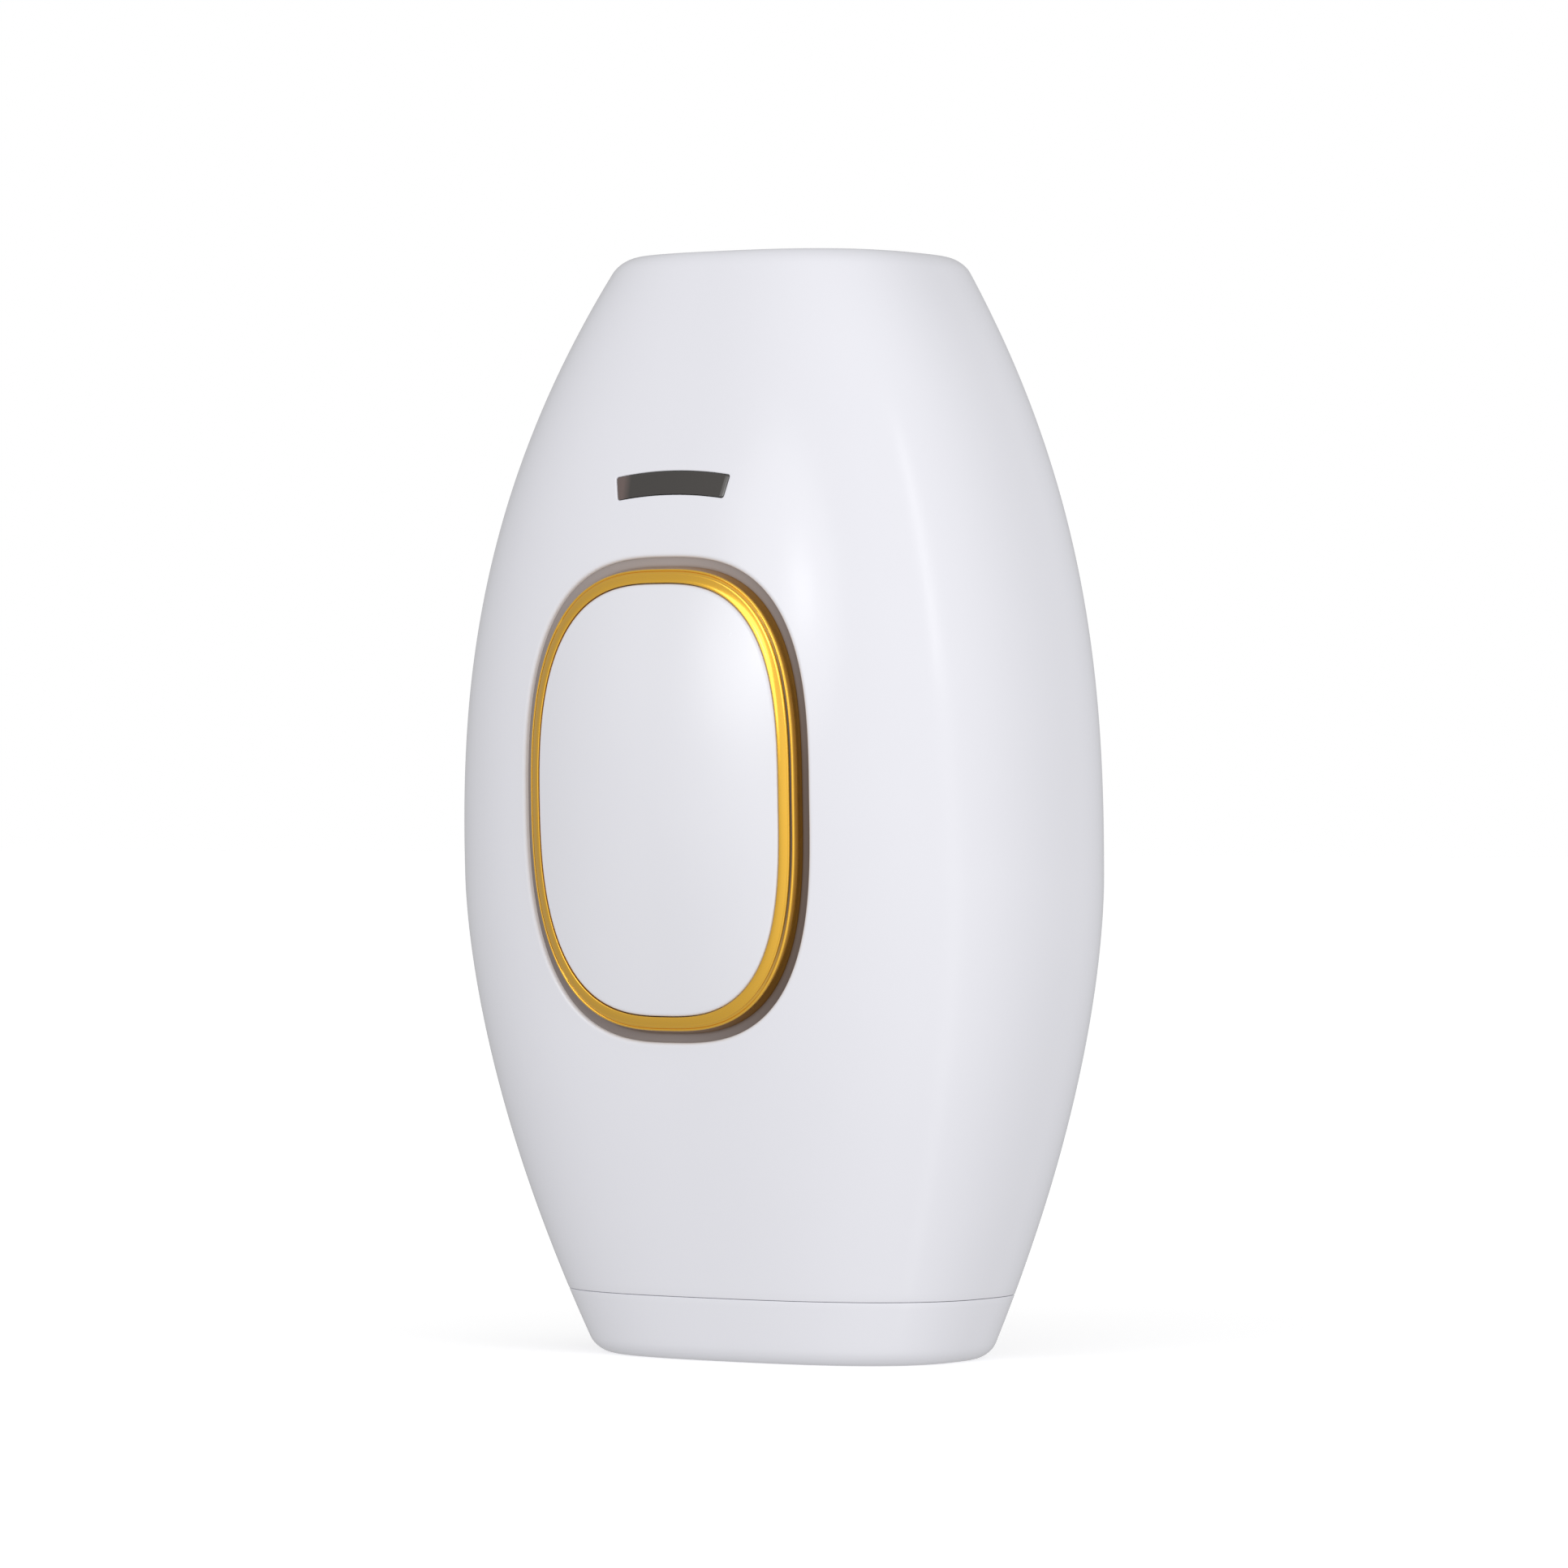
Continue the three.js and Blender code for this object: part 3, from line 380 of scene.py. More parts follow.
class Sheet:
    """A grid over the casing's skin, in rows of one height and columns of one angle share, in
    which holes are fitted: the faces inside a block of the grid are left out, and rings of faces
    lead from the block's border to the hole's outline."""

    def __init__(self, theta, rails, at_top, opening=None):
        self.theta = [theta.ravel()]
        self.rail = [np.broadcast_to(rails[:, None], theta.shape).ravel()]
        self.radius = [np.full(theta.size, SEAM_EDGE)]
        self.rows, self.columns = theta.shape
        self.grid_theta, self.rails = theta, rails
        self.at_top, self.opening = at_top, opening
        self.keep = np.ones((self.rows - 1, self.columns), bool)
        self.extra = []            # faces of the rings round the holes
        self.count = theta.size

    def heights(self):
        """Height of each row."""
        return HEIGHT - self.rails if self.at_top else self.rails

    def hole(self, outline, centre, reach, edge, front, rings=3):
        """Fits a hole. centre is its x and height, reach the block's half size each way, edge the
        radius of the round edge round it."""
        z = self.heights()
        low_row, high_row = sorted((int(np.argmin(np.abs(z - centre[1] + reach[1]))),
                                    int(np.argmin(np.abs(z - centre[1] - reach[1])))))
        middle = int(np.argmin(np.abs(z - centre[1])))
        want = side_angle(np.array([centre[0] - reach[0], centre[0] + reach[0]]), centre[1], front)
        here = self.grid_theta[middle]
        low_col, high_col = sorted(int(np.argmin(np.abs(here - angle))) for angle in want)
        self.keep[low_row:high_row, low_col:high_col] = False
        across = np.arange(low_col, high_col)
        up = np.arange(low_row, high_row)
        loop = np.concatenate([
            low_row * self.columns + across, up * self.columns + high_col,
            high_row * self.columns + across[::-1] + 1, (up[::-1] + 1) * self.columns + low_col])
        theta, rail = self.theta[0][loop], self.rail[0][loop]
        border_z = HEIGHT - rail if self.at_top else rail
        border_x = section(theta, border_z, 0.0)[0]
        near = [outline(border_x, border_z, grow) for grow in (edge, edge + NEAR_STEP)]
        far = near[-1]
        shares = np.linspace(0, 1, rings + 1)[1:-1]
        between = [(far[0] + s * (border_x - far[0]), far[1] + s * (border_z - far[1])) for s in shares]
        before = loop
        for x, height in [*between[::-1], *near[::-1]]:
            number = self.count + np.arange(len(loop))
            self.theta.append(side_angle(x, height, front))
            self.rail.append(HEIGHT - height if self.at_top else height)
            self.radius.append(np.full(len(loop), edge))
            corners = [before, np.roll(before, -1), np.roll(number, -1), number]
            self.extra.append(np.stack(corners, axis=1))
            before = number
            self.count += len(loop)

    def body(self, wrap):
        """Points and faces of the closed wall."""
        faces = lattice(self.rows, self.columns, wrap)
        keep = self.keep if wrap else self.keep[:, :-1]
        faces = np.concatenate([faces[keep.ravel()], *self.extra])
        theta, rail = np.concatenate(self.theta), np.concatenate(self.rail)
        outer = casing(theta, rail, 0.0, self.at_top, self.opening)
        inner = casing(theta, rail, WALL, self.at_top, self.opening)
        corners = outer[faces]
        turned = np.cross(corners[:, 2] - corners[:, 0], corners[:, 3] - corners[:, 1])
        middle = corners.mean(axis=1) - np.array([0, AXIS_Y, HEIGHT / 2])
        if np.einsum("ij,ij->i", turned, middle).sum() < 0:
            faces = faces[:, ::-1]
        return wall_body(outer, inner, faces, np.concatenate(self.radius))


# ------------------------------------------------------------------ materials

MOTTLE, GLOSS_PATCH, GRAIN = 45.0, 120.0, 900.0   # noise scales: colour, gloss, relief
HAZE_ROUGH = 0.45   # of the soft second reflection that a hazy moulding has


def new_material(name):
    """An empty material, its node tree and its shader."""
    material = bpy.data.materials.new(name)
    material.use_nodes = True
    tree = material.node_tree
    shader = tree.nodes["Principled BSDF"]
    return material, tree, shader


def noise(tree, scale, detail=3.0, rough=0.5):
    """Soft noise over the object's own coordinates."""
    place = tree.nodes.new("ShaderNodeTexCoord")
    texture = tree.nodes.new("ShaderNodeTexNoise")
    texture.inputs["Scale"].default_value = scale
    texture.inputs["Detail"].default_value = detail
    texture.inputs["Roughness"].default_value = rough
    tree.links.new(place.outputs["Object"], texture.inputs["Vector"])
    return texture.outputs["Fac"]


def spread(tree, source, low, high):
    """A value taken from the middle of a noise to the span between low and high."""
    node = tree.nodes.new("ShaderNodeMapRange")
    node.inputs["From Min"].default_value = 0.2
    node.inputs["From Max"].default_value = 0.8
    node.inputs["To Min"].default_value = low
    node.inputs["To Max"].default_value = high
    tree.links.new(source, node.inputs["Value"])
    return node.outputs["Result"]


def mixed(tree, factor, first, second):
    """A colour between two by a factor. Each is a colour or a socket."""
    node = tree.nodes.new("ShaderNodeMix")
    node.data_type = "RGBA"
    tree.links.new(factor, node.inputs["Factor"])
    for name, colour in (("A", first), ("B", second)):
        if isinstance(colour, tuple):
            node.inputs[name].default_value = (*colour, 1)
        else:
            tree.links.new(colour, node.inputs[name])
    return node.outputs["Result"]


def worked(tree, operation, *values):
    """The result of an operation on up to three values, each a number or a socket."""
    node = tree.nodes.new("ShaderNodeMath")
    node.operation = operation
    for place, value in zip(node.inputs, values):
        if isinstance(value, (int, float)):
            place.default_value = value
        else:
            tree.links.new(value, place)
    return node.outputs[0]


def marked(tree, name):
    """The number that a piece's points carry under a name."""
    node = tree.nodes.new("ShaderNodeAttribute")
    node.attribute_name = name
    return node.outputs["Fac"]


def mottled(tree, first, second, scale=MOTTLE):
    """Two near colours mottled together by soft noise."""
    return mixed(tree, spread(tree, noise(tree, scale), 0, 1), first, second)


def finish(tree, shader, colour, low, high, depth, grain=GRAIN, patch=GLOSS_PATCH):
    """Sets a colour, a roughness that drifts between two values and a fine bump of a given depth
    in metres."""
    tree.links.new(colour, shader.inputs["Base Color"])
    tree.links.new(spread(tree, noise(tree, patch), low, high), shader.inputs["Roughness"])
    bump = tree.nodes.new("ShaderNodeBump")
    bump.inputs["Strength"].default_value = 1.0
    bump.inputs["Distance"].default_value = depth
    tree.links.new(noise(tree, grain, 2.0), bump.inputs["Height"])
    tree.links.new(bump.outputs["Normal"], shader.inputs["Normal"])


def moulded(name, first, second, rough, metallic=0.0, gloss=0.5, haze=0.0, grain=GRAIN, depth=2e-6):
    """A plain finish: two near colours mottled together, an uneven gloss and a fine relief."""
    material, tree, shader = new_material(name)
    colour = mottled(tree, first, second)
    finish(tree, shader, colour, rough * 0.92, rough * 1.08, depth, grain)
    shader.inputs["Metallic"].default_value = metallic
    shader.inputs["Specular IOR Level"].default_value = gloss
    shader.inputs["Coat Weight"].default_value = haze
    shader.inputs["Coat Roughness"].default_value = HAZE_ROUGH
    return material


WHITE = moulded("gloss_white_moulding", (0.788, 0.788, 0.838), (0.802, 0.802, 0.852), 0.20)
WHITE_BUTTON = moulded("gloss_white_button", (0.773, 0.773, 0.823), (0.785, 0.785, 0.835), 0.26,
                       gloss=1.0, haze=1.0, depth=1e-6)
CHROME = moulded("polished_contact_frame", (0.66, 0.66, 0.68), (0.72, 0.72, 0.74), 0.12, metallic=1.0)
NYLON = moulded("natural_nylon", (0.66, 0.65, 0.60), (0.72, 0.71, 0.66), 0.5, depth=8e-6)
BLACK = moulded("black_nylon", (0.020, 0.020, 0.022), (0.032, 0.032, 0.034), 0.45, depth=8e-6)
EPOXY = moulded("black_epoxy", (0.012, 0.012, 0.013), (0.022, 0.022, 0.023), 0.55, depth=5e-6)
BOARD = moulded("green_circuit_lacquer", (0.010, 0.10, 0.055), (0.016, 0.14, 0.075), 0.3, depth=6e-6)
STEEL = moulded("zinc_plated_steel", (0.50, 0.51, 0.53), (0.60, 0.61, 0.63), 0.28, metallic=1.0)
ALUMINIUM = moulded("extruded_aluminium", (0.66, 0.67, 0.69), (0.74, 0.75, 0.77), 0.34, metallic=1.0)
MIRROR = moulded("polished_reflector", (0.86, 0.86, 0.87), (0.90, 0.90, 0.91), 0.08, metallic=1.0)
COPPER = moulded("enamelled_copper", (0.50, 0.20, 0.09), (0.60, 0.27, 0.12), 0.3, metallic=0.8,
                 grain=2500.0, depth=2e-5)
SLEEVE = moulded("capacitor_sleeve", (0.014, 0.022, 0.075), (0.020, 0.030, 0.095), 0.3)
RED = moulded("red_insulation", (0.40, 0.020, 0.022), (0.48, 0.028, 0.030), 0.45)
DARK_LEAD = moulded("black_insulation", (0.018, 0.018, 0.018), (0.028, 0.028, 0.028), 0.5)


def gold_plate():
    """Polished gold plate, browner where the piece is marked with the flank's painted shade, and painted
    dark brown, not metallic, where it is marked with the slit's painted shade: both darken the gold to
    stand in for shade."""
    material, tree, shader = new_material("polished_gold_plate")
    plate = mottled(tree, (0.86, 0.47, 0.028), (0.91, 0.51, 0.040))
    # painted shade: the flank's gold darkened towards brown
    plate = mixed(tree, marked(tree, "painted_flank_shade"), plate, (0.19, 0.050, 0.004))
    # share of the slit's painted shade: dark brown, not metallic, in place of the gold
    cover = marked(tree, "painted_slit_shade")
    finish(tree, shader, mixed(tree, cover, plate, (0.035, 0.018, 0.010)), 0.15, 0.20, 2e-6)
    tree.links.new(worked(tree, "SUBTRACT", 1.0, cover), shader.inputs["Metallic"])
    shader.inputs["Coat Weight"].default_value = 1.0
    shader.inputs["Coat Roughness"].default_value = 0.05
    return material


def taupe_painted_groove_shade():
    """Soft taupe finish that stands in for the shade in the button's groove, between a lighter and a
    deeper tone as the piece is marked: painted light towards the top, painted shade towards the right
    side.
    """
    material, tree, shader = new_material("taupe_painted_groove_shade")
    light = mottled(tree, (0.385, 0.345, 0.34), (0.415, 0.37, 0.365))
    # painted light and shade: the piece's mark mixes towards the deeper tone
    colour = mixed(tree, marked(tree, "painted_shade"), light, (0.125, 0.095, 0.085))
    finish(tree, shader, colour, 0.40, 0.52, 4e-6)
    return material


def smoked_lens():
    """Smoked lens. A sensor's paler window shows through its left end."""
    material, tree, shader = new_material("smoked_lens")
    place = tree.nodes.new("ShaderNodeTexCoord")
    axes = tree.nodes.new("ShaderNodeSeparateXYZ")
    tree.links.new(place.outputs["Object"], axes.inputs["Vector"])
    end = tree.nodes.new("ShaderNodeMapRange")
    for name, value in (("From Min", -6.2 * MM), ("From Max", -7.4 * MM), ("To Min", 0), ("To Max", 1)):
        end.inputs[name].default_value = value
    tree.links.new(axes.outputs["X"], end.inputs["Value"])
    smoke = mottled(tree, (0.045, 0.041, 0.038), (0.055, 0.050, 0.046))
    colour = mixed(tree, end.outputs["Result"], smoke, (0.135, 0.098, 0.090))
    finish(tree, shader, colour, 0.10, 0.14, 2e-6)
    return material


TAUPE = taupe_painted_groove_shade()
SMOKE = smoked_lens()
GOLD = gold_plate()


def glass(name, colour, rough=0.03):
    """Clear or tinted glass, its tint and its gloss a little uneven."""
    material, tree, shader = new_material(name)
    tree.links.new(mottled(tree, colour, tuple(c * 0.97 for c in colour), 60.0),
                   shader.inputs["Base Color"])
    tree.links.new(spread(tree, noise(tree, 150.0), rough, rough * 2), shader.inputs["Roughness"])
    shader.inputs["Transmission Weight"].default_value = 1.0
    shader.inputs["IOR"].default_value = 1.5
    return material


CLEAR = glass("clear_glass", (0.93, 0.97, 0.98))
AMBER = glass("amber_filter", (0.95, 0.50, 0.14))

SLOT_FINISH = {
    "smoked_window": SMOKE, "chrome_frame": CHROME, "clear_glass": CLEAR, "amber_filter": AMBER,
    "polished_reflector": MIRROR, "aluminium_sink": ALUMINIUM, "black_nylon": BLACK,
    "natural_nylon": NYLON, "circuit_board": BOARD, "black_epoxy": EPOXY,
    "capacitor_sleeve": SLEEVE, "copper_winding": COPPER, "bright_steel": STEEL,
    "spring_steel": STEEL, "red_lead": RED, "black_lead": DARK_LEAD, "white_casing": WHITE,
    "white_button": WHITE_BUTTON, "gold_trim": GOLD, "taupe_seat": TAUPE,
}


def finish_frame_nodes():
    """Gives every node of the frame the finish of its slot in the record."""
    for row in frame["record"]["subparts"]:
        mesh = frame["nodes"][row["node"]].data
        mesh.materials.clear()
        mesh.materials.append(SLOT_FINISH[row["material_slot"]])


# ------------------------------------------------------------------ casing pieces

FRONT_COLUMNS, BACK_COLUMNS = 150, 84
ROW_PITCH = 1.15
EDGE_BACK = SEAM / 2 + SEAM_EDGE * 0.8   # skin's last row, short of the parting plane
SEAM_END = SEAM / 2 + SEAM_EDGE          # skin's last row, short of a level seam
PARTING_TURN = 0.5                       # usual superellipse angle of the parting, for spacing


def fillet_rails():
    """Rails round the fillet and across the end face to its opening."""
    return np.concatenate([[END_ROUND - s for s in np.linspace(1 / 8, 1, 8)],
                           [END_ROUND - 1 - s for s in (0.03, 0.2, 0.4, 0.6, 0.8, 0.97, 1.0)]])


def casing_front():
    """Front, sides and lamp head in one moulding."""
    ring_reach = (27.5, 35.2)
    breaks = [HEIGHT - CAP_HEIGHT - SEAM_END, HEIGHT - RING_CENTRE + ring_reach[1],
              HEIGHT - RING_CENTRE - ring_reach[1], HEIGHT - DISPLAY_HOLE[1] - DISPLAY_REACH[1],
              HEIGHT - COVER_TOP - SEAM_END, END_ROUND + 0.4, END_ROUND]
    rails = np.concatenate([steps_between(breaks, ROW_PITCH), fillet_rails()])
    z = np.where(rails >= END_ROUND, HEIGHT - rails, HEIGHT)
    edge = parting_angle(np.minimum(z, HEIGHT - END_ROUND), -EDGE_BACK)
    front = even_shares(FRONT_COLUMNS, -math.pi - PARTING_TURN, PARTING_TURN)
    back = even_shares(BACK_COLUMNS, PARTING_TURN, math.pi - PARTING_TURN)[1:-1]
    front_theta = -math.pi - edge[:, None] + front * (math.pi + 2 * edge[:, None])
    back_theta = edge[:, None] + back * (math.pi - 2 * edge[:, None])
    sheet = Sheet(np.concatenate([front_theta, back_theta], axis=1), rails, True,
                  lambda x, y: rounded(*LAMP_FRAME)(x, y, FRAME_GAP + SEAM_EDGE))
    cover = rails[:-1] > HEIGHT - COVER_TOP - SEAM_END + 1e-6
    sheet.keep[np.ix_(cover, np.arange(FRONT_COLUMNS - 1, sheet.columns))] = False
    sheet.hole(ring_outline, (0, RING_CENTRE), ring_reach, LIP, True, rings=5)
    sheet.hole(display_outline, DISPLAY_HOLE, DISPLAY_REACH, 0.16, True, rings=4)
    points, faces = sheet.body(True)
    piece("casing_front", points, faces, WHITE, "root", "white_casing", ["front_shell"])


def vent(half_length, z):
    """Outline of a level slot with round ends."""
    return moved(rounded(half_length, VENT_HALF, VENT_HALF - 0.01), 0.0, z)


def casing_back():
    """Back cover with its intake and exhaust slots, the level key's hole and screw recesses."""
    intake = [FAN_Z + k * VENT_PITCH for k in range(-3, 4)]
    exhaust = [EXHAUST_Z + k * EXHAUST_PITCH for k in range(EXHAUST_COUNT)]
    key_reach, screw_reach = (9.5, 5), (4.4, 5)
    breaks = sorted([CAP_HEIGHT + SEAM_END, COVER_TOP - SEAM_END,
                     *(z + s * VENT_PITCH / 2 for z in intake for s in (-1, 1)),
                     *(z + s * EXHAUST_PITCH / 2 for z in exhaust for s in (-1, 1)),
                     *(LEVEL_KEY_Z + s * key_reach[1] for s in (-1, 1)),
                     *(z + s * screw_reach[1] for z in SCREW_ROWS for s in (-1, 1))])
    breaks = [b for a, b in zip([0.0, *breaks], breaks) if b - a > 0.01]
    rails = steps_between(breaks, ROW_PITCH)
    edge = parting_angle(rails, EDGE_BACK)
    share = even_shares(BACK_COLUMNS, PARTING_TURN, math.pi - PARTING_TURN)
    sheet = Sheet(edge[:, None] + share * (math.pi - 2 * edge[:, None]), rails, False)
    for z in intake:
        half = math.sqrt(VENT_RADIUS ** 2 - (z - FAN_Z) ** 2)
        sheet.hole(vent(half, z), (0, z), (20.0, VENT_PITCH / 2), 0.3, False)
    for k, z in enumerate(exhaust):
        half = EXHAUST_LENGTH - EXHAUST_STEP * k
        sheet.hole(vent(half, z), (0, z), (13.5, EXHAUST_PITCH / 2), 0.3, False)
    key = moved(rounded(*LEVEL_KEY), 0.0, LEVEL_KEY_Z)
    sheet.hole(key, (0, LEVEL_KEY_Z), key_reach, 0.25, False)
    for side in (-1, 1):
        for z in SCREW_ROWS:
            recess = moved(rounded(SCREW_RECESS, SCREW_RECESS, SCREW_RECESS - 0.01), side * SCREW_X, z)
            sheet.hole(recess, (side * SCREW_X, z), screw_reach, 0.3, False)
    points, faces = sheet.body(False)
    piece("casing_back", points, faces, WHITE, "root", "white_casing", ["back_cover"])


def casing_cap():
    """Bottom cap, with the round hole for the charging socket in its flat underside."""
    rails = np.concatenate([steps_between([CAP_HEIGHT - SEAM_END, END_ROUND], 0.8), fillet_rails()])
    theta = -math.pi + even_shares(220, -math.pi, math.pi)[:-1] * TAU
    socket = rounded(*SOCKET_HOLE)
    sheet = Sheet(np.broadcast_to(theta, (len(rails), len(theta))), rails, False,
                  lambda x, y: socket(x, y, SEAM_EDGE))
    points, faces = sheet.body(True)
    piece("casing_cap", points, faces, WHITE, "root", "white_casing", ["bottom_cap"])


# ------------------------------------------------------------------ control face

RING_TURN = turns(360)
SIDENESS = np.abs(np.cos(RING_TURN)) ** 3   # 1 at the ring's two sides, 0 at its top and bottom
RING_FOOT = -0.9     # ring's lower edge under the casing's skin
BAND_ROUND = 0.12
BEAD_TOP = 0.58
BEAD_ROUND = 0.16
SLIT_DROP = 0.3      # how much deeper the ring's slit is at the sides


def along_ring(profile, drops=None):
    """Rows of points that follow the button's outline. Each (in, up) pair of the profile is a
    distance inwards from the groove's outer edge and a height above the casing's skin. A drop
    lowers its row at the two sides, less and less towards the top and bottom."""
    x = RING_X * bent(np.cos(RING_TURN), RING_POWER)
    z = RING_Z * bent(np.sin(RING_TURN), RING_POWER) + RING_CENTRE
    x, z = ring_outline(x, z)
    rows = []
    for (inward, lift), drop in zip(profile, drops or [0.0] * len(profile)):
        row_x, row_z = ring_outline(x, z, -inward)
        lift = lift - drop * SIDENESS
        rows.append(np.stack([row_x, front_y(row_x, row_z) - lift, row_z], axis=-1))
    return np.array(rows)


def trim_ring():
    """Gold ring: a band that falls a little outwards from the button, a slit that deepens towards the
    sides and is painted dark there as shade, a round bead and a steep flank down to the groove's floor,
    painted browner as shade."""
    top = PROUD + 0.02
    band = [(RING_INNER, RING_FOOT),
            *arc((RING_INNER - BAND_ROUND, top - BAND_ROUND), BAND_ROUND, 0, 82),
            (2.8, top - 0.07), (2.3, top - 0.2), *arc((2.16, top - 0.34), 0.1, 68, 140, 4)]
    slit = [(2.08, BEAD_TOP + 0.06), (2.06, BEAD_TOP + 0.05), (1.9, BEAD_TOP + 0.01), (1.88, BEAD_TOP)]
    bead = arc((BEAD, BEAD_TOP - BEAD_ROUND), BEAD_ROUND, 25, 170, 9)
    flank = [(FLANK + 0.28, BEAD_TOP - 0.4), (FLANK + 0.05, -0.7), (FLANK, RING_FOOT)]
    profile = [*band, *slit, *bead, *flank]
    deep = [0.0] * len(band) + [1.0] * len(slit) + [0.0] * (len(bead) + len(flank))
    # painted shade on the flank, as a share towards brown
    painted_flank_shade = [0.0] * (len(profile) - len(flank)) + [0.42] * len(flank)
    points, faces = ring_body(along_ring(profile, [SLIT_DROP * share for share in deep]))
    ring = piece("trim_ring", points, faces, GOLD, "root", "gold_trim", ["gold_ring"], sharp=50)
    # painted shade in the slit: dark brown, strongest at the two sides, none at the top and bottom
    mark(ring, "painted_slit_shade", np.outer(deep, SIDENESS))
    mark(ring, "painted_flank_shade", np.outer(painted_flank_shade, np.ones_like(RING_TURN)))


def groove_seat():
    """Taupe seat under the ring, its colour standing in for the groove's shade: the floor of the groove,
    slightly hollow, and its flange behind. Its painted shade deepens from the top round to the right side,
    lightest at the top as painted light."""
    profile = [(RING_INNER, -3.3), (RING_INNER, -1.0), (FLANK + 0.1, -1.0), (FLANK - 0.1, -0.85),
               (0.9, -0.8), (0.5, -0.72), (0.2, -0.62), (0.06, -0.55), (0.06, -2.2), (-1.9, -2.35),
               (-1.9, -3.3)]
    points, faces = ring_body(along_ring(profile))
    seat = piece("groove_seat", points, faces, TAUPE, "root", "taupe_seat", ["ring_seat"])
    across, up = np.cos(RING_TURN), np.sin(RING_TURN)
    # painted light and shade: lightest at the top, deepest at the right side
    painted_shade = 0.3 - 0.3 * up + 0.5 * np.abs(across) + 0.2 * across
    mark(seat, "painted_shade", np.outer(np.ones(len(profile)), np.clip(painted_shade, 0, 1)))


def thumb_button():
    """Domed button: above the casing's skin its face sinks from the crown with the square of the
    distance from the middle. A round edge and straight sides follow."""
    edge = RING_INNER + BUTTON_GAP
    round_edge = 0.35
    half_x = RING_X - edge

    def face(inward):
        """Height above the casing's skin at a distance in from the edge."""
        return PROUD + CROWN * (1 - (1 - inward / half_x) ** 2)

    grid = [(half_x * (1 - s), face(half_x * (1 - s))) for s in np.linspace(0, 0.96, 48)[1:]]
    low = face(round_edge)
    rim = [(round_edge - a, b) for a, b in arc((0, low - round_edge), round_edge, 90, 0, 6)]
    rows = [(half_x, PROUD + CROWN), *grid, (round_edge + 0.1, face(round_edge + 0.1)), *rim,
            (0, -1.6), (half_x, -1.6)]
    x, z = bent(np.cos(RING_TURN), RING_POWER), bent(np.sin(RING_TURN), RING_POWER)
    points = []
    for inward, lift in rows:
        share = 1 - inward / half_x
        row_x, row_z = x * half_x * share, RING_CENTRE + z * (RING_Z - edge) * share
        points.append(np.stack([row_x, front_y(row_x, row_z) - lift, row_z], axis=-1))
    points, faces = poled_body(np.array(points))
    piece("thumb_button", points, faces, WHITE_BUTTON, "flash_button", "white_button", ["flash_button"])


def display_lens():
    """Smoked lens of the display, just below the casing's skin: rows that shrink from its edge
    to its middle."""
    turn = turns(160)
    edge_x, edge_z = display_outline(14 * np.cos(turn), DISPLAY_HOLE[1] + 6 * np.sin(turn), -0.06)
    rows = [(s, -0.08) for s in (1.0, 0.8, 0.6, 0.4, 0.2, 0.08, 0.03)]
    points = []
    for inward, lift in [*rows, (0.0, -0.16), (0.0, -1.4), (1.0, -1.4)]:
        row_x = edge_x * (1 - inward)
        row_z = edge_z + inward * (DISPLAY_Z - edge_z)
        points.append(np.stack([row_x, front_y(row_x, row_z) - lift, row_z], axis=-1))
    points, faces = poled_body(np.array(points))
    piece("display_lens", points, faces, SMOKE, "root", "smoked_window", ["display_window"])


# ------------------------------------------------------------------ lamp head, key, socket, screws

def far_points(sides):
    """Points well outside the lamp's outlines, on a squarish superellipse."""
    turn = turns(sides)
    return 40 * bent(np.cos(turn), 4), 20 * bent(np.sin(turn), 4)


def upright_ring(profile, sides=200):
    """A ring that stands on end. Each profile point is an outline, a growth beyond it and a
    height."""
    far_x, far_y = far_points(sides)
    rows = []
    for outline, grow, z in profile:
        x, y = outline(far_x, far_y, grow)
        rows.append(np.stack([x, y + AXIS_Y, np.full_like(x, z)], axis=-1))
    return np.array(rows)


def contact_frame():
    """Sprung frame round the lamp window: a round-topped collar on a flange."""
    top = HEIGHT + FRAME_PROUD
    flange_top = HEIGHT - WALL - 0.3
    collar, flange, window = rounded(*LAMP_FRAME), rounded(*LAMP_FLANGE), rounded(*LAMP_WINDOW)
    profile = [(flange, 0, flange_top - 1), (flange, 0, flange_top), (collar, 0, flange_top)]
    profile += [(collar, a - 0.6, b) for a, b in arc((0, top - 0.6), 0.6, 0, 90, 7)]
    profile += [(window, 0.4 - a, b) for a, b in arc((0, top - 0.4), 0.4, 90, 0, 6)]
    profile += [(window, 0, flange_top - 1)]
    points, faces = ring_body(upright_ring(profile))
    piece("contact_frame", points, faces, CHROME, "sensor_frame", "chrome_frame", ["sensor_frame"])


def lamp_window():
    """Glass plate over the lamp, its edges lightly chamfered: rows that grow from the middle of
    its top, go down its side and shrink to the middle of its underside."""
    outline = rounded(*GLASS_SIZE)
    chamfer = 0.15
    under = GLASS_TOP - GLASS_THICK
    far_x, far_y = far_points(120)
    rows = []
    for share, inset, z in [(0, 0, GLASS_TOP), (0.6, 0, GLASS_TOP), (1, chamfer, GLASS_TOP),
                            (1, 0, GLASS_TOP - chamfer), (1, 0, under + chamfer),
                            (1, chamfer, under), (0.6, 0, under), (0, 0, under)]:
        x, y = outline(far_x, far_y, -inset)
        rows.append(np.stack([x * share, y * share + AXIS_Y, np.full_like(x, z)], axis=-1))
    points, faces = poled_body(np.array(rows))
    piece("lamp_window", points, faces, CLEAR, "root", "clear_glass", ["window_glass"])


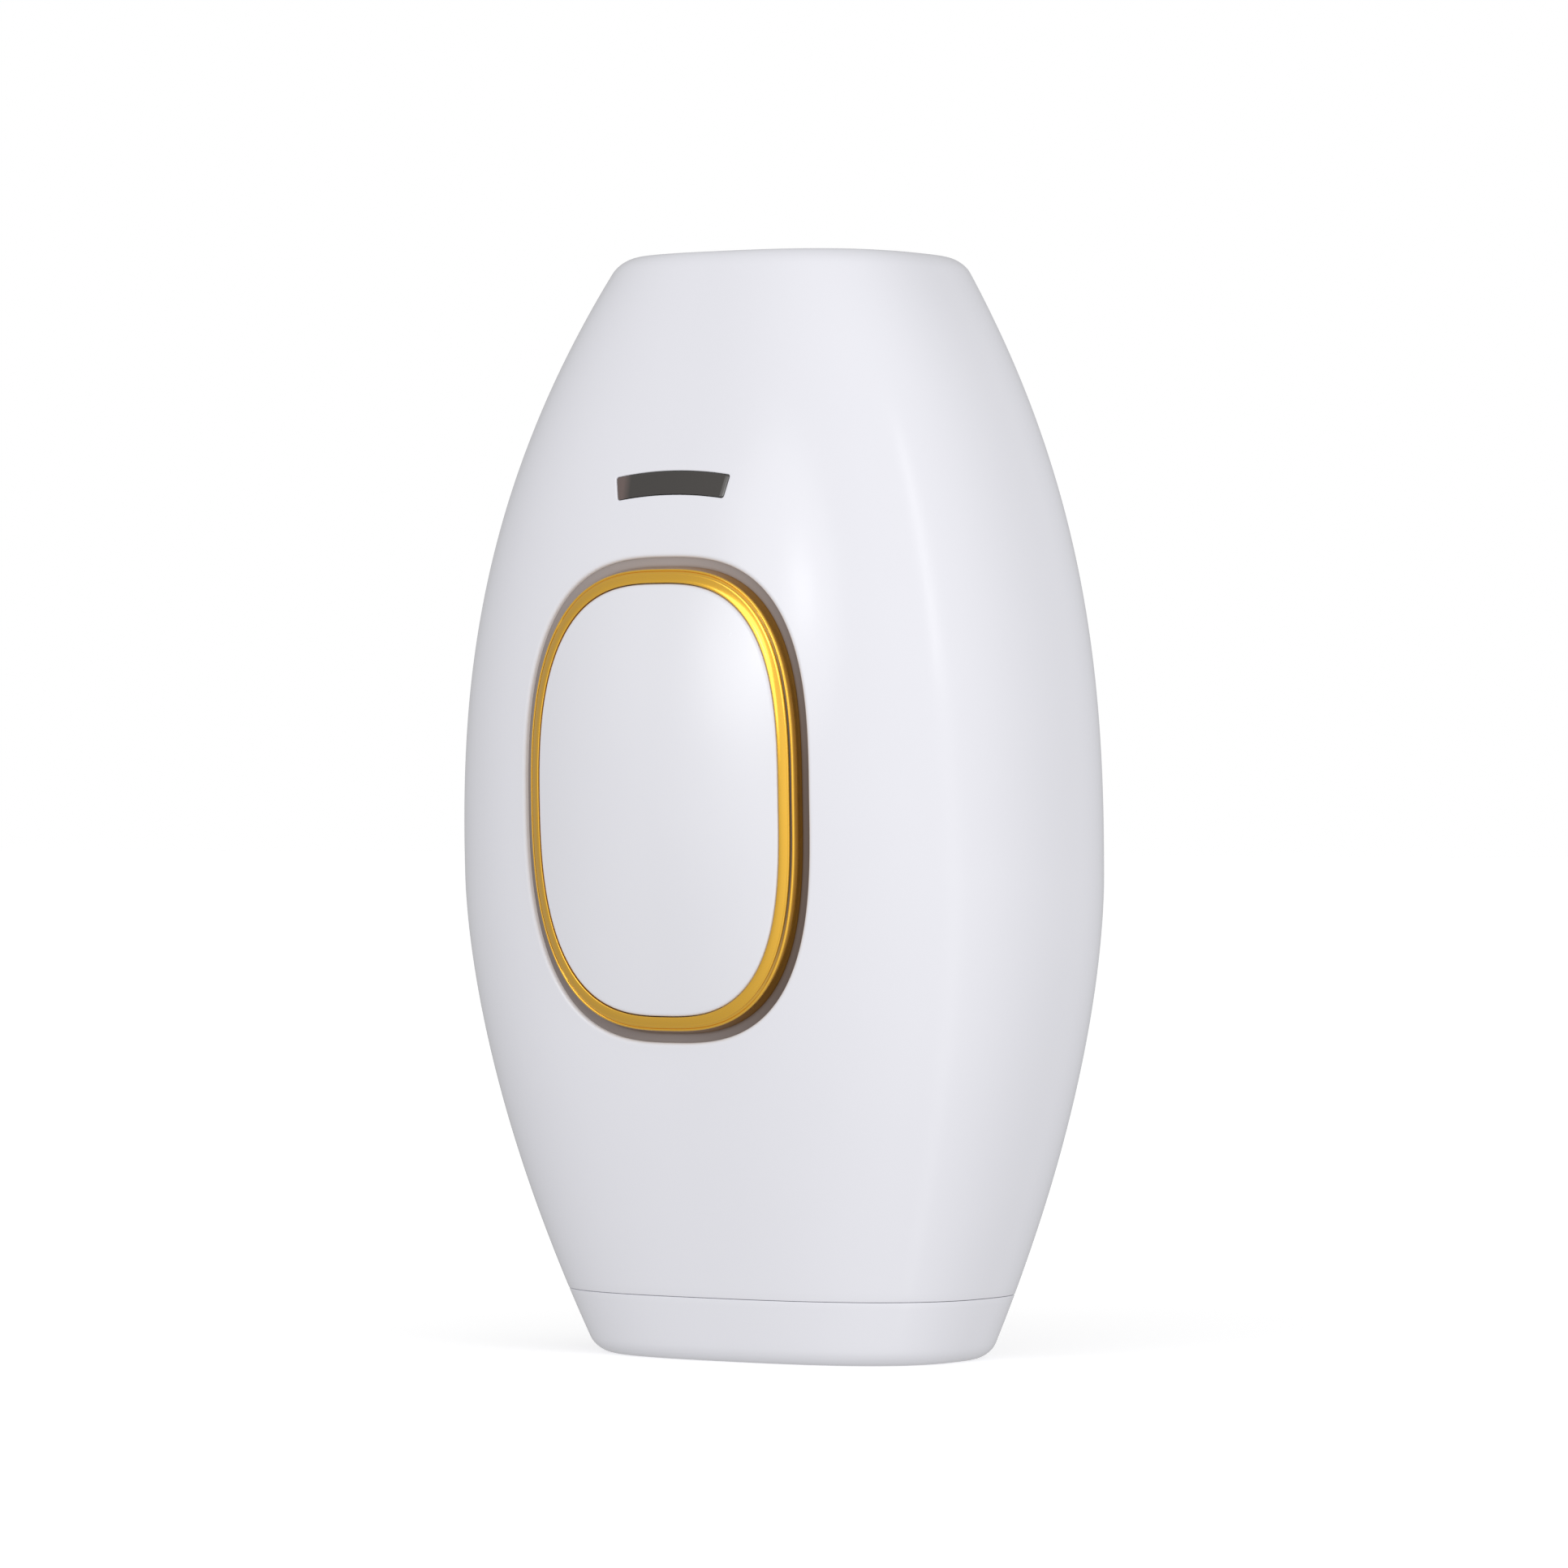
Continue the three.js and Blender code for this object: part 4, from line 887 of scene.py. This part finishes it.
def level_key():
    """Small key on the back, just below the skin, with a round edge: rows that grow from the
    middle of its face, go down its side and shrink again behind."""
    outline = rounded(*LEVEL_KEY)
    turn = turns(120)
    far_x, far_z = 20 * np.cos(turn), 12 * np.sin(turn)
    rows = [(0.0, 0.3, -0.2), (0.5, 0.3, -0.2), (0.85, 0.3, -0.2)]
    rows += [(1.0, 0.15 + 0.4 - a, b - 0.6) for a, b in arc((0, 0), 0.4, 90, 0, 5)]
    rows += [(1.0, 0.15, -2.6), (1.0, -1.0, -2.6), (1.0, -1.0, -3.5), (0.0, 0, -3.5)]
    points = []
    for share, inset, lift in rows:
        x, z = outline(far_x, far_z, -inset)
        x, z = x * share, LEVEL_KEY_Z + z * share
        points.append(np.stack([x, back_y(x, z) + lift, z], axis=-1))
    points, faces = poled_body(np.array(points))
    piece("level_key", points, faces, WHITE_BUTTON, "level_button", "white_button", ["level_button"])


def charging_socket():
    """Barrel socket with a flared mouth in the cap's underside, and its centre pin."""
    mouth = [(0, 10), (2.8, 10), (2.8, 1.3), *arc((3.3, 1.3), 0.5, 180, 270, 5)[1:-1], (3.5, 0.8),
             (3.8, 1.1), (3.8, 2.3), (5.4, 2.3), (5.4, 13), (0, 13)]
    points, faces = lathe(mouth, (0, AXIS_Y, 0), (0, 0, 1), 64)
    piece("charging_socket", points, faces, BLACK, "root", "black_nylon", ["dc_inlet"])
    pin = [(0, 1.6), (0.5, 1.6), (0.85, 1.85), (0.95, 2.2), (0.95, 9.7), (0, 9.7)]
    points, faces = lathe(pin, (0, AXIS_Y, 0), (0, 0, 1), 32)
    piece("socket_pin", points, faces, STEEL, "root", "bright_steel", ["dc_pin"])


def cover_screws():
    """Pan-head screws with a cross recess, sunk in the back cover."""
    for side, side_name in ((-1, "left"), (1, "right")):
        for z, level in zip(SCREW_ROWS, ("low", "high")):
            screw_head(f"cover_screw_{level}_{side_name}", side * SCREW_X, z)


def screw_head(node, x, z):
    """One screw: a domed head whose middle sinks along a cross, then the shank. The sink at a
    point falls off smoothly with its distance from the nearer arm of the cross."""
    low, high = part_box(node)
    seat = high.y / MM - HEAD_HEIGHT
    tip = low.y / MM - seat
    turn = turns(96)
    rows = []
    for r in [*np.linspace(0, 2.1, 15), 2.24, HEAD_RADIUS]:
        across, up = r * np.cos(turn), r * np.sin(turn)
        arm = np.minimum(np.abs(across), np.abs(up))
        cut = np.clip((CROSS_ARM - arm) / 0.16, 0, 1) * np.clip((CROSS_REACH - r) / 0.3, 0, 1)
        dome = HEAD_HEIGHT - 0.35 * (r / HEAD_RADIUS) ** 2 - (0.35 if r == HEAD_RADIUS else 0)
        rows.append(np.stack([x + across, seat + dome - CROSS_DEPTH * cut, z + up], axis=-1))
    for r, lift in [(HEAD_RADIUS, 0.0), (SHANK_RADIUS, 0.0), (SHANK_RADIUS, tip), (0, tip)]:
        level = np.full_like(turn, seat + lift)
        rows.append(np.stack([x + r * np.cos(turn), level, z + r * np.sin(turn)], axis=-1))
    points, faces = poled_body(np.array(rows))
    piece(node.replace("cover_screw", "back_screw"), points, faces, STEEL, "root", "bright_steel", [node])


def frame_springs():
    """Wire coils under the contact frame."""
    for side_name in ("left", "right"):
        coil_spring(f"frame_spring_{side_name}")


def coil_spring(node):
    """A helix swept by a round wire: a point of the wire lies off the helix along its spoke and upwards.
    The wire shrinks to a point at both ends."""
    low, high = (np.array(corner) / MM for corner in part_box(node))
    middle = (low + high) / 2
    share = np.concatenate([[0.0], np.linspace(0, 1, 97), [1.0]])[:, None]
    wire = np.full_like(share, COIL_WIRE)
    wire[[0, -1]] = 0.0
    turn = share * COIL_TURNS * TAU
    around = turns(12)
    reach = COIL_RADIUS + wire * np.cos(around)
    rise = share * (high[2] - low[2] - 2 * COIL_WIRE) + COIL_WIRE + wire * np.sin(around)
    points = np.stack([middle[0] + reach * np.cos(turn), middle[1] + reach * np.sin(turn),
                       low[2] + rise], axis=-1)
    made = piece(node.replace("frame_spring", "coil_spring"), *poled_body(points), STEEL,
                 "root", "spring_steel", [node])
    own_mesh(made)


# ------------------------------------------------------------------ stage

VIEW_AZIMUTH = math.radians(34)
VIEW_DISTANCE = 1001.9
VIEW_HEIGHT = 72.87
VIEW_ASIDE = -1.03
FRAME_WIDTH = 200.2   # width of the view at the object


def stage_camera():
    """Level camera, off the object's axis by its distance outwards and a little aside."""
    outwards = np.array([math.sin(VIEW_AZIMUTH), -math.cos(VIEW_AZIMUTH), 0])
    aside = np.array([math.cos(VIEW_AZIMUTH), math.sin(VIEW_AZIMUTH), 0])
    place = np.array([0, AXIS_Y, VIEW_HEIGHT]) + outwards * VIEW_DISTANCE + aside * VIEW_ASIDE
    data = bpy.data.cameras.new("camera")
    data.lens = 36 * VIEW_DISTANCE / FRAME_WIDTH
    data.clip_start, data.clip_end = 0.05, 50
    camera = bpy.data.objects.new("camera", data)
    bpy.context.scene.collection.objects.link(camera)
    camera.location = place * MM
    camera.rotation_euler = (math.pi / 2, 0, VIEW_AZIMUTH)
    bpy.context.scene.camera = camera


def stage_floor():
    """A wide pale floor, lit a little from within so that it meets the backdrop without a line."""
    half = 6.0
    corners = [(-half, -half, 0), (half, -half, 0), (half, half, 0), (-half, half, 0)]
    mesh = bpy.data.meshes.new("floor")
    mesh.from_pydata(corners, [], [(0, 1, 2, 3)])
    floor = bpy.data.objects.new("floor", mesh)
    bpy.context.scene.collection.objects.link(floor)
    material, _, shader = new_material("pale_floor")
    shader.inputs["Base Color"].default_value = (0.85, 0.85, 0.85, 1)
    shader.inputs["Roughness"].default_value = 0.9
    shader.inputs["Specular IOR Level"].default_value = 0.0
    shader.inputs["Emission Color"].default_value = WHITE_LIGHT
    shader.inputs["Emission Strength"].default_value = 0.42
    mesh.materials.append(material)
    floor.visible_diffuse = False
    floor.visible_glossy = False
    floor.visible_shadow = False


def towards(azimuth, elevation):
    """Unit vector by azimuth, from -Y towards +X, and elevation, in degrees."""
    a, e = math.radians(azimuth), math.radians(elevation)
    return Vector((math.sin(a) * math.cos(e), -math.cos(a) * math.cos(e), math.sin(e)))


def soft_light(name, azimuth, elevation, distance, size, radiance, shape="RECTANGLE"):
    """A flat light that faces the object's middle. Its power is its radiance times pi times its
    area, and its size is in metres."""
    data = bpy.data.lights.new(name, "AREA")
    data.shape = shape
    data.size, data.size_y = size
    area = size[0] * size[1] * (math.pi / 4 if shape == "ELLIPSE" else 1)
    data.energy = radiance * math.pi * area
    light = bpy.data.objects.new(name, data)
    bpy.context.scene.collection.objects.link(light)
    way = towards(azimuth, elevation)
    light.location = Vector((0, 0, 0.07)) + way * distance
    light.rotation_euler = way.to_track_quat("Z", "Y").to_euler()


ROOM_LIGHT = 0.594           # light from every side
ROOM_TILT = 0.175            # more of it from the key side, as much less from the other
KEY_LIGHT = 0.40             # broad glow added on the key side
KEY_WAY = towards(50, 14)
WHITE_LIGHT = (1, 1, 1, 1)


def stage_world():
    """White backdrop. The light it gives is an even part, a part that grows with the cosine to
    the key side, and a glow that falls off with the square of that cosine."""
    world = bpy.data.worlds.new("studio")
    world.use_nodes = True
    tree = world.node_tree
    room = tree.nodes["Background"]
    place = tree.nodes.new("ShaderNodeTexCoord")
    dot = tree.nodes.new("ShaderNodeVectorMath")
    dot.operation = "DOT_PRODUCT"
    dot.inputs[1].default_value = KEY_WAY
    tree.links.new(place.outputs["Generated"], dot.inputs[0])
    cosine = dot.outputs["Value"]
    glow = worked(tree, "POWER", worked(tree, "MAXIMUM", cosine, 0.0), 2.0)
    tilted = worked(tree, "MULTIPLY_ADD", cosine, ROOM_TILT, ROOM_LIGHT)
    tree.links.new(worked(tree, "MULTIPLY_ADD", glow, KEY_LIGHT, tilted), room.inputs["Strength"])
    backdrop = tree.nodes.new("ShaderNodeBackground")
    backdrop.inputs["Strength"].default_value = 1.0
    path = tree.nodes.new("ShaderNodeLightPath")
    choice = tree.nodes.new("ShaderNodeMixShader")
    tree.links.new(path.outputs["Is Camera Ray"], choice.inputs[0])
    tree.links.new(room.outputs[0], choice.inputs[1])
    tree.links.new(backdrop.outputs[0], choice.inputs[2])
    for node in (room, backdrop):
        node.inputs["Color"].default_value = WHITE_LIGHT
    tree.links.new(choice.outputs[0], tree.nodes["World Output"].inputs["Surface"])
    bpy.context.scene.world = world
    bpy.context.scene.view_settings.view_transform = "Standard"


def stage_lights():
    """A narrow strip and its wide glow on the right, a round lamp and its glow on the left."""
    soft_light("strip_light", 61, 28, 1.0, (0.06, 0.55), 2.8)
    soft_light("strip_glow", 63, -4, 1.1, (0.18, 2.2), 0.7)
    soft_light("round_light", -5, 17, 1.0, (0.14, 0.14), 4.2, "ELLIPSE")
    soft_light("round_glow", -9, 17, 1.05, (0.66, 0.54), 1.6, "ELLIPSE")


finish_frame_nodes()
casing_front()
casing_back()
casing_cap()
trim_ring()
groove_seat()
thumb_button()
display_lens()
contact_frame()
lamp_window()
level_key()
charging_socket()
cover_screws()
frame_springs()
stage_camera()
stage_floor()
stage_world()
stage_lights()
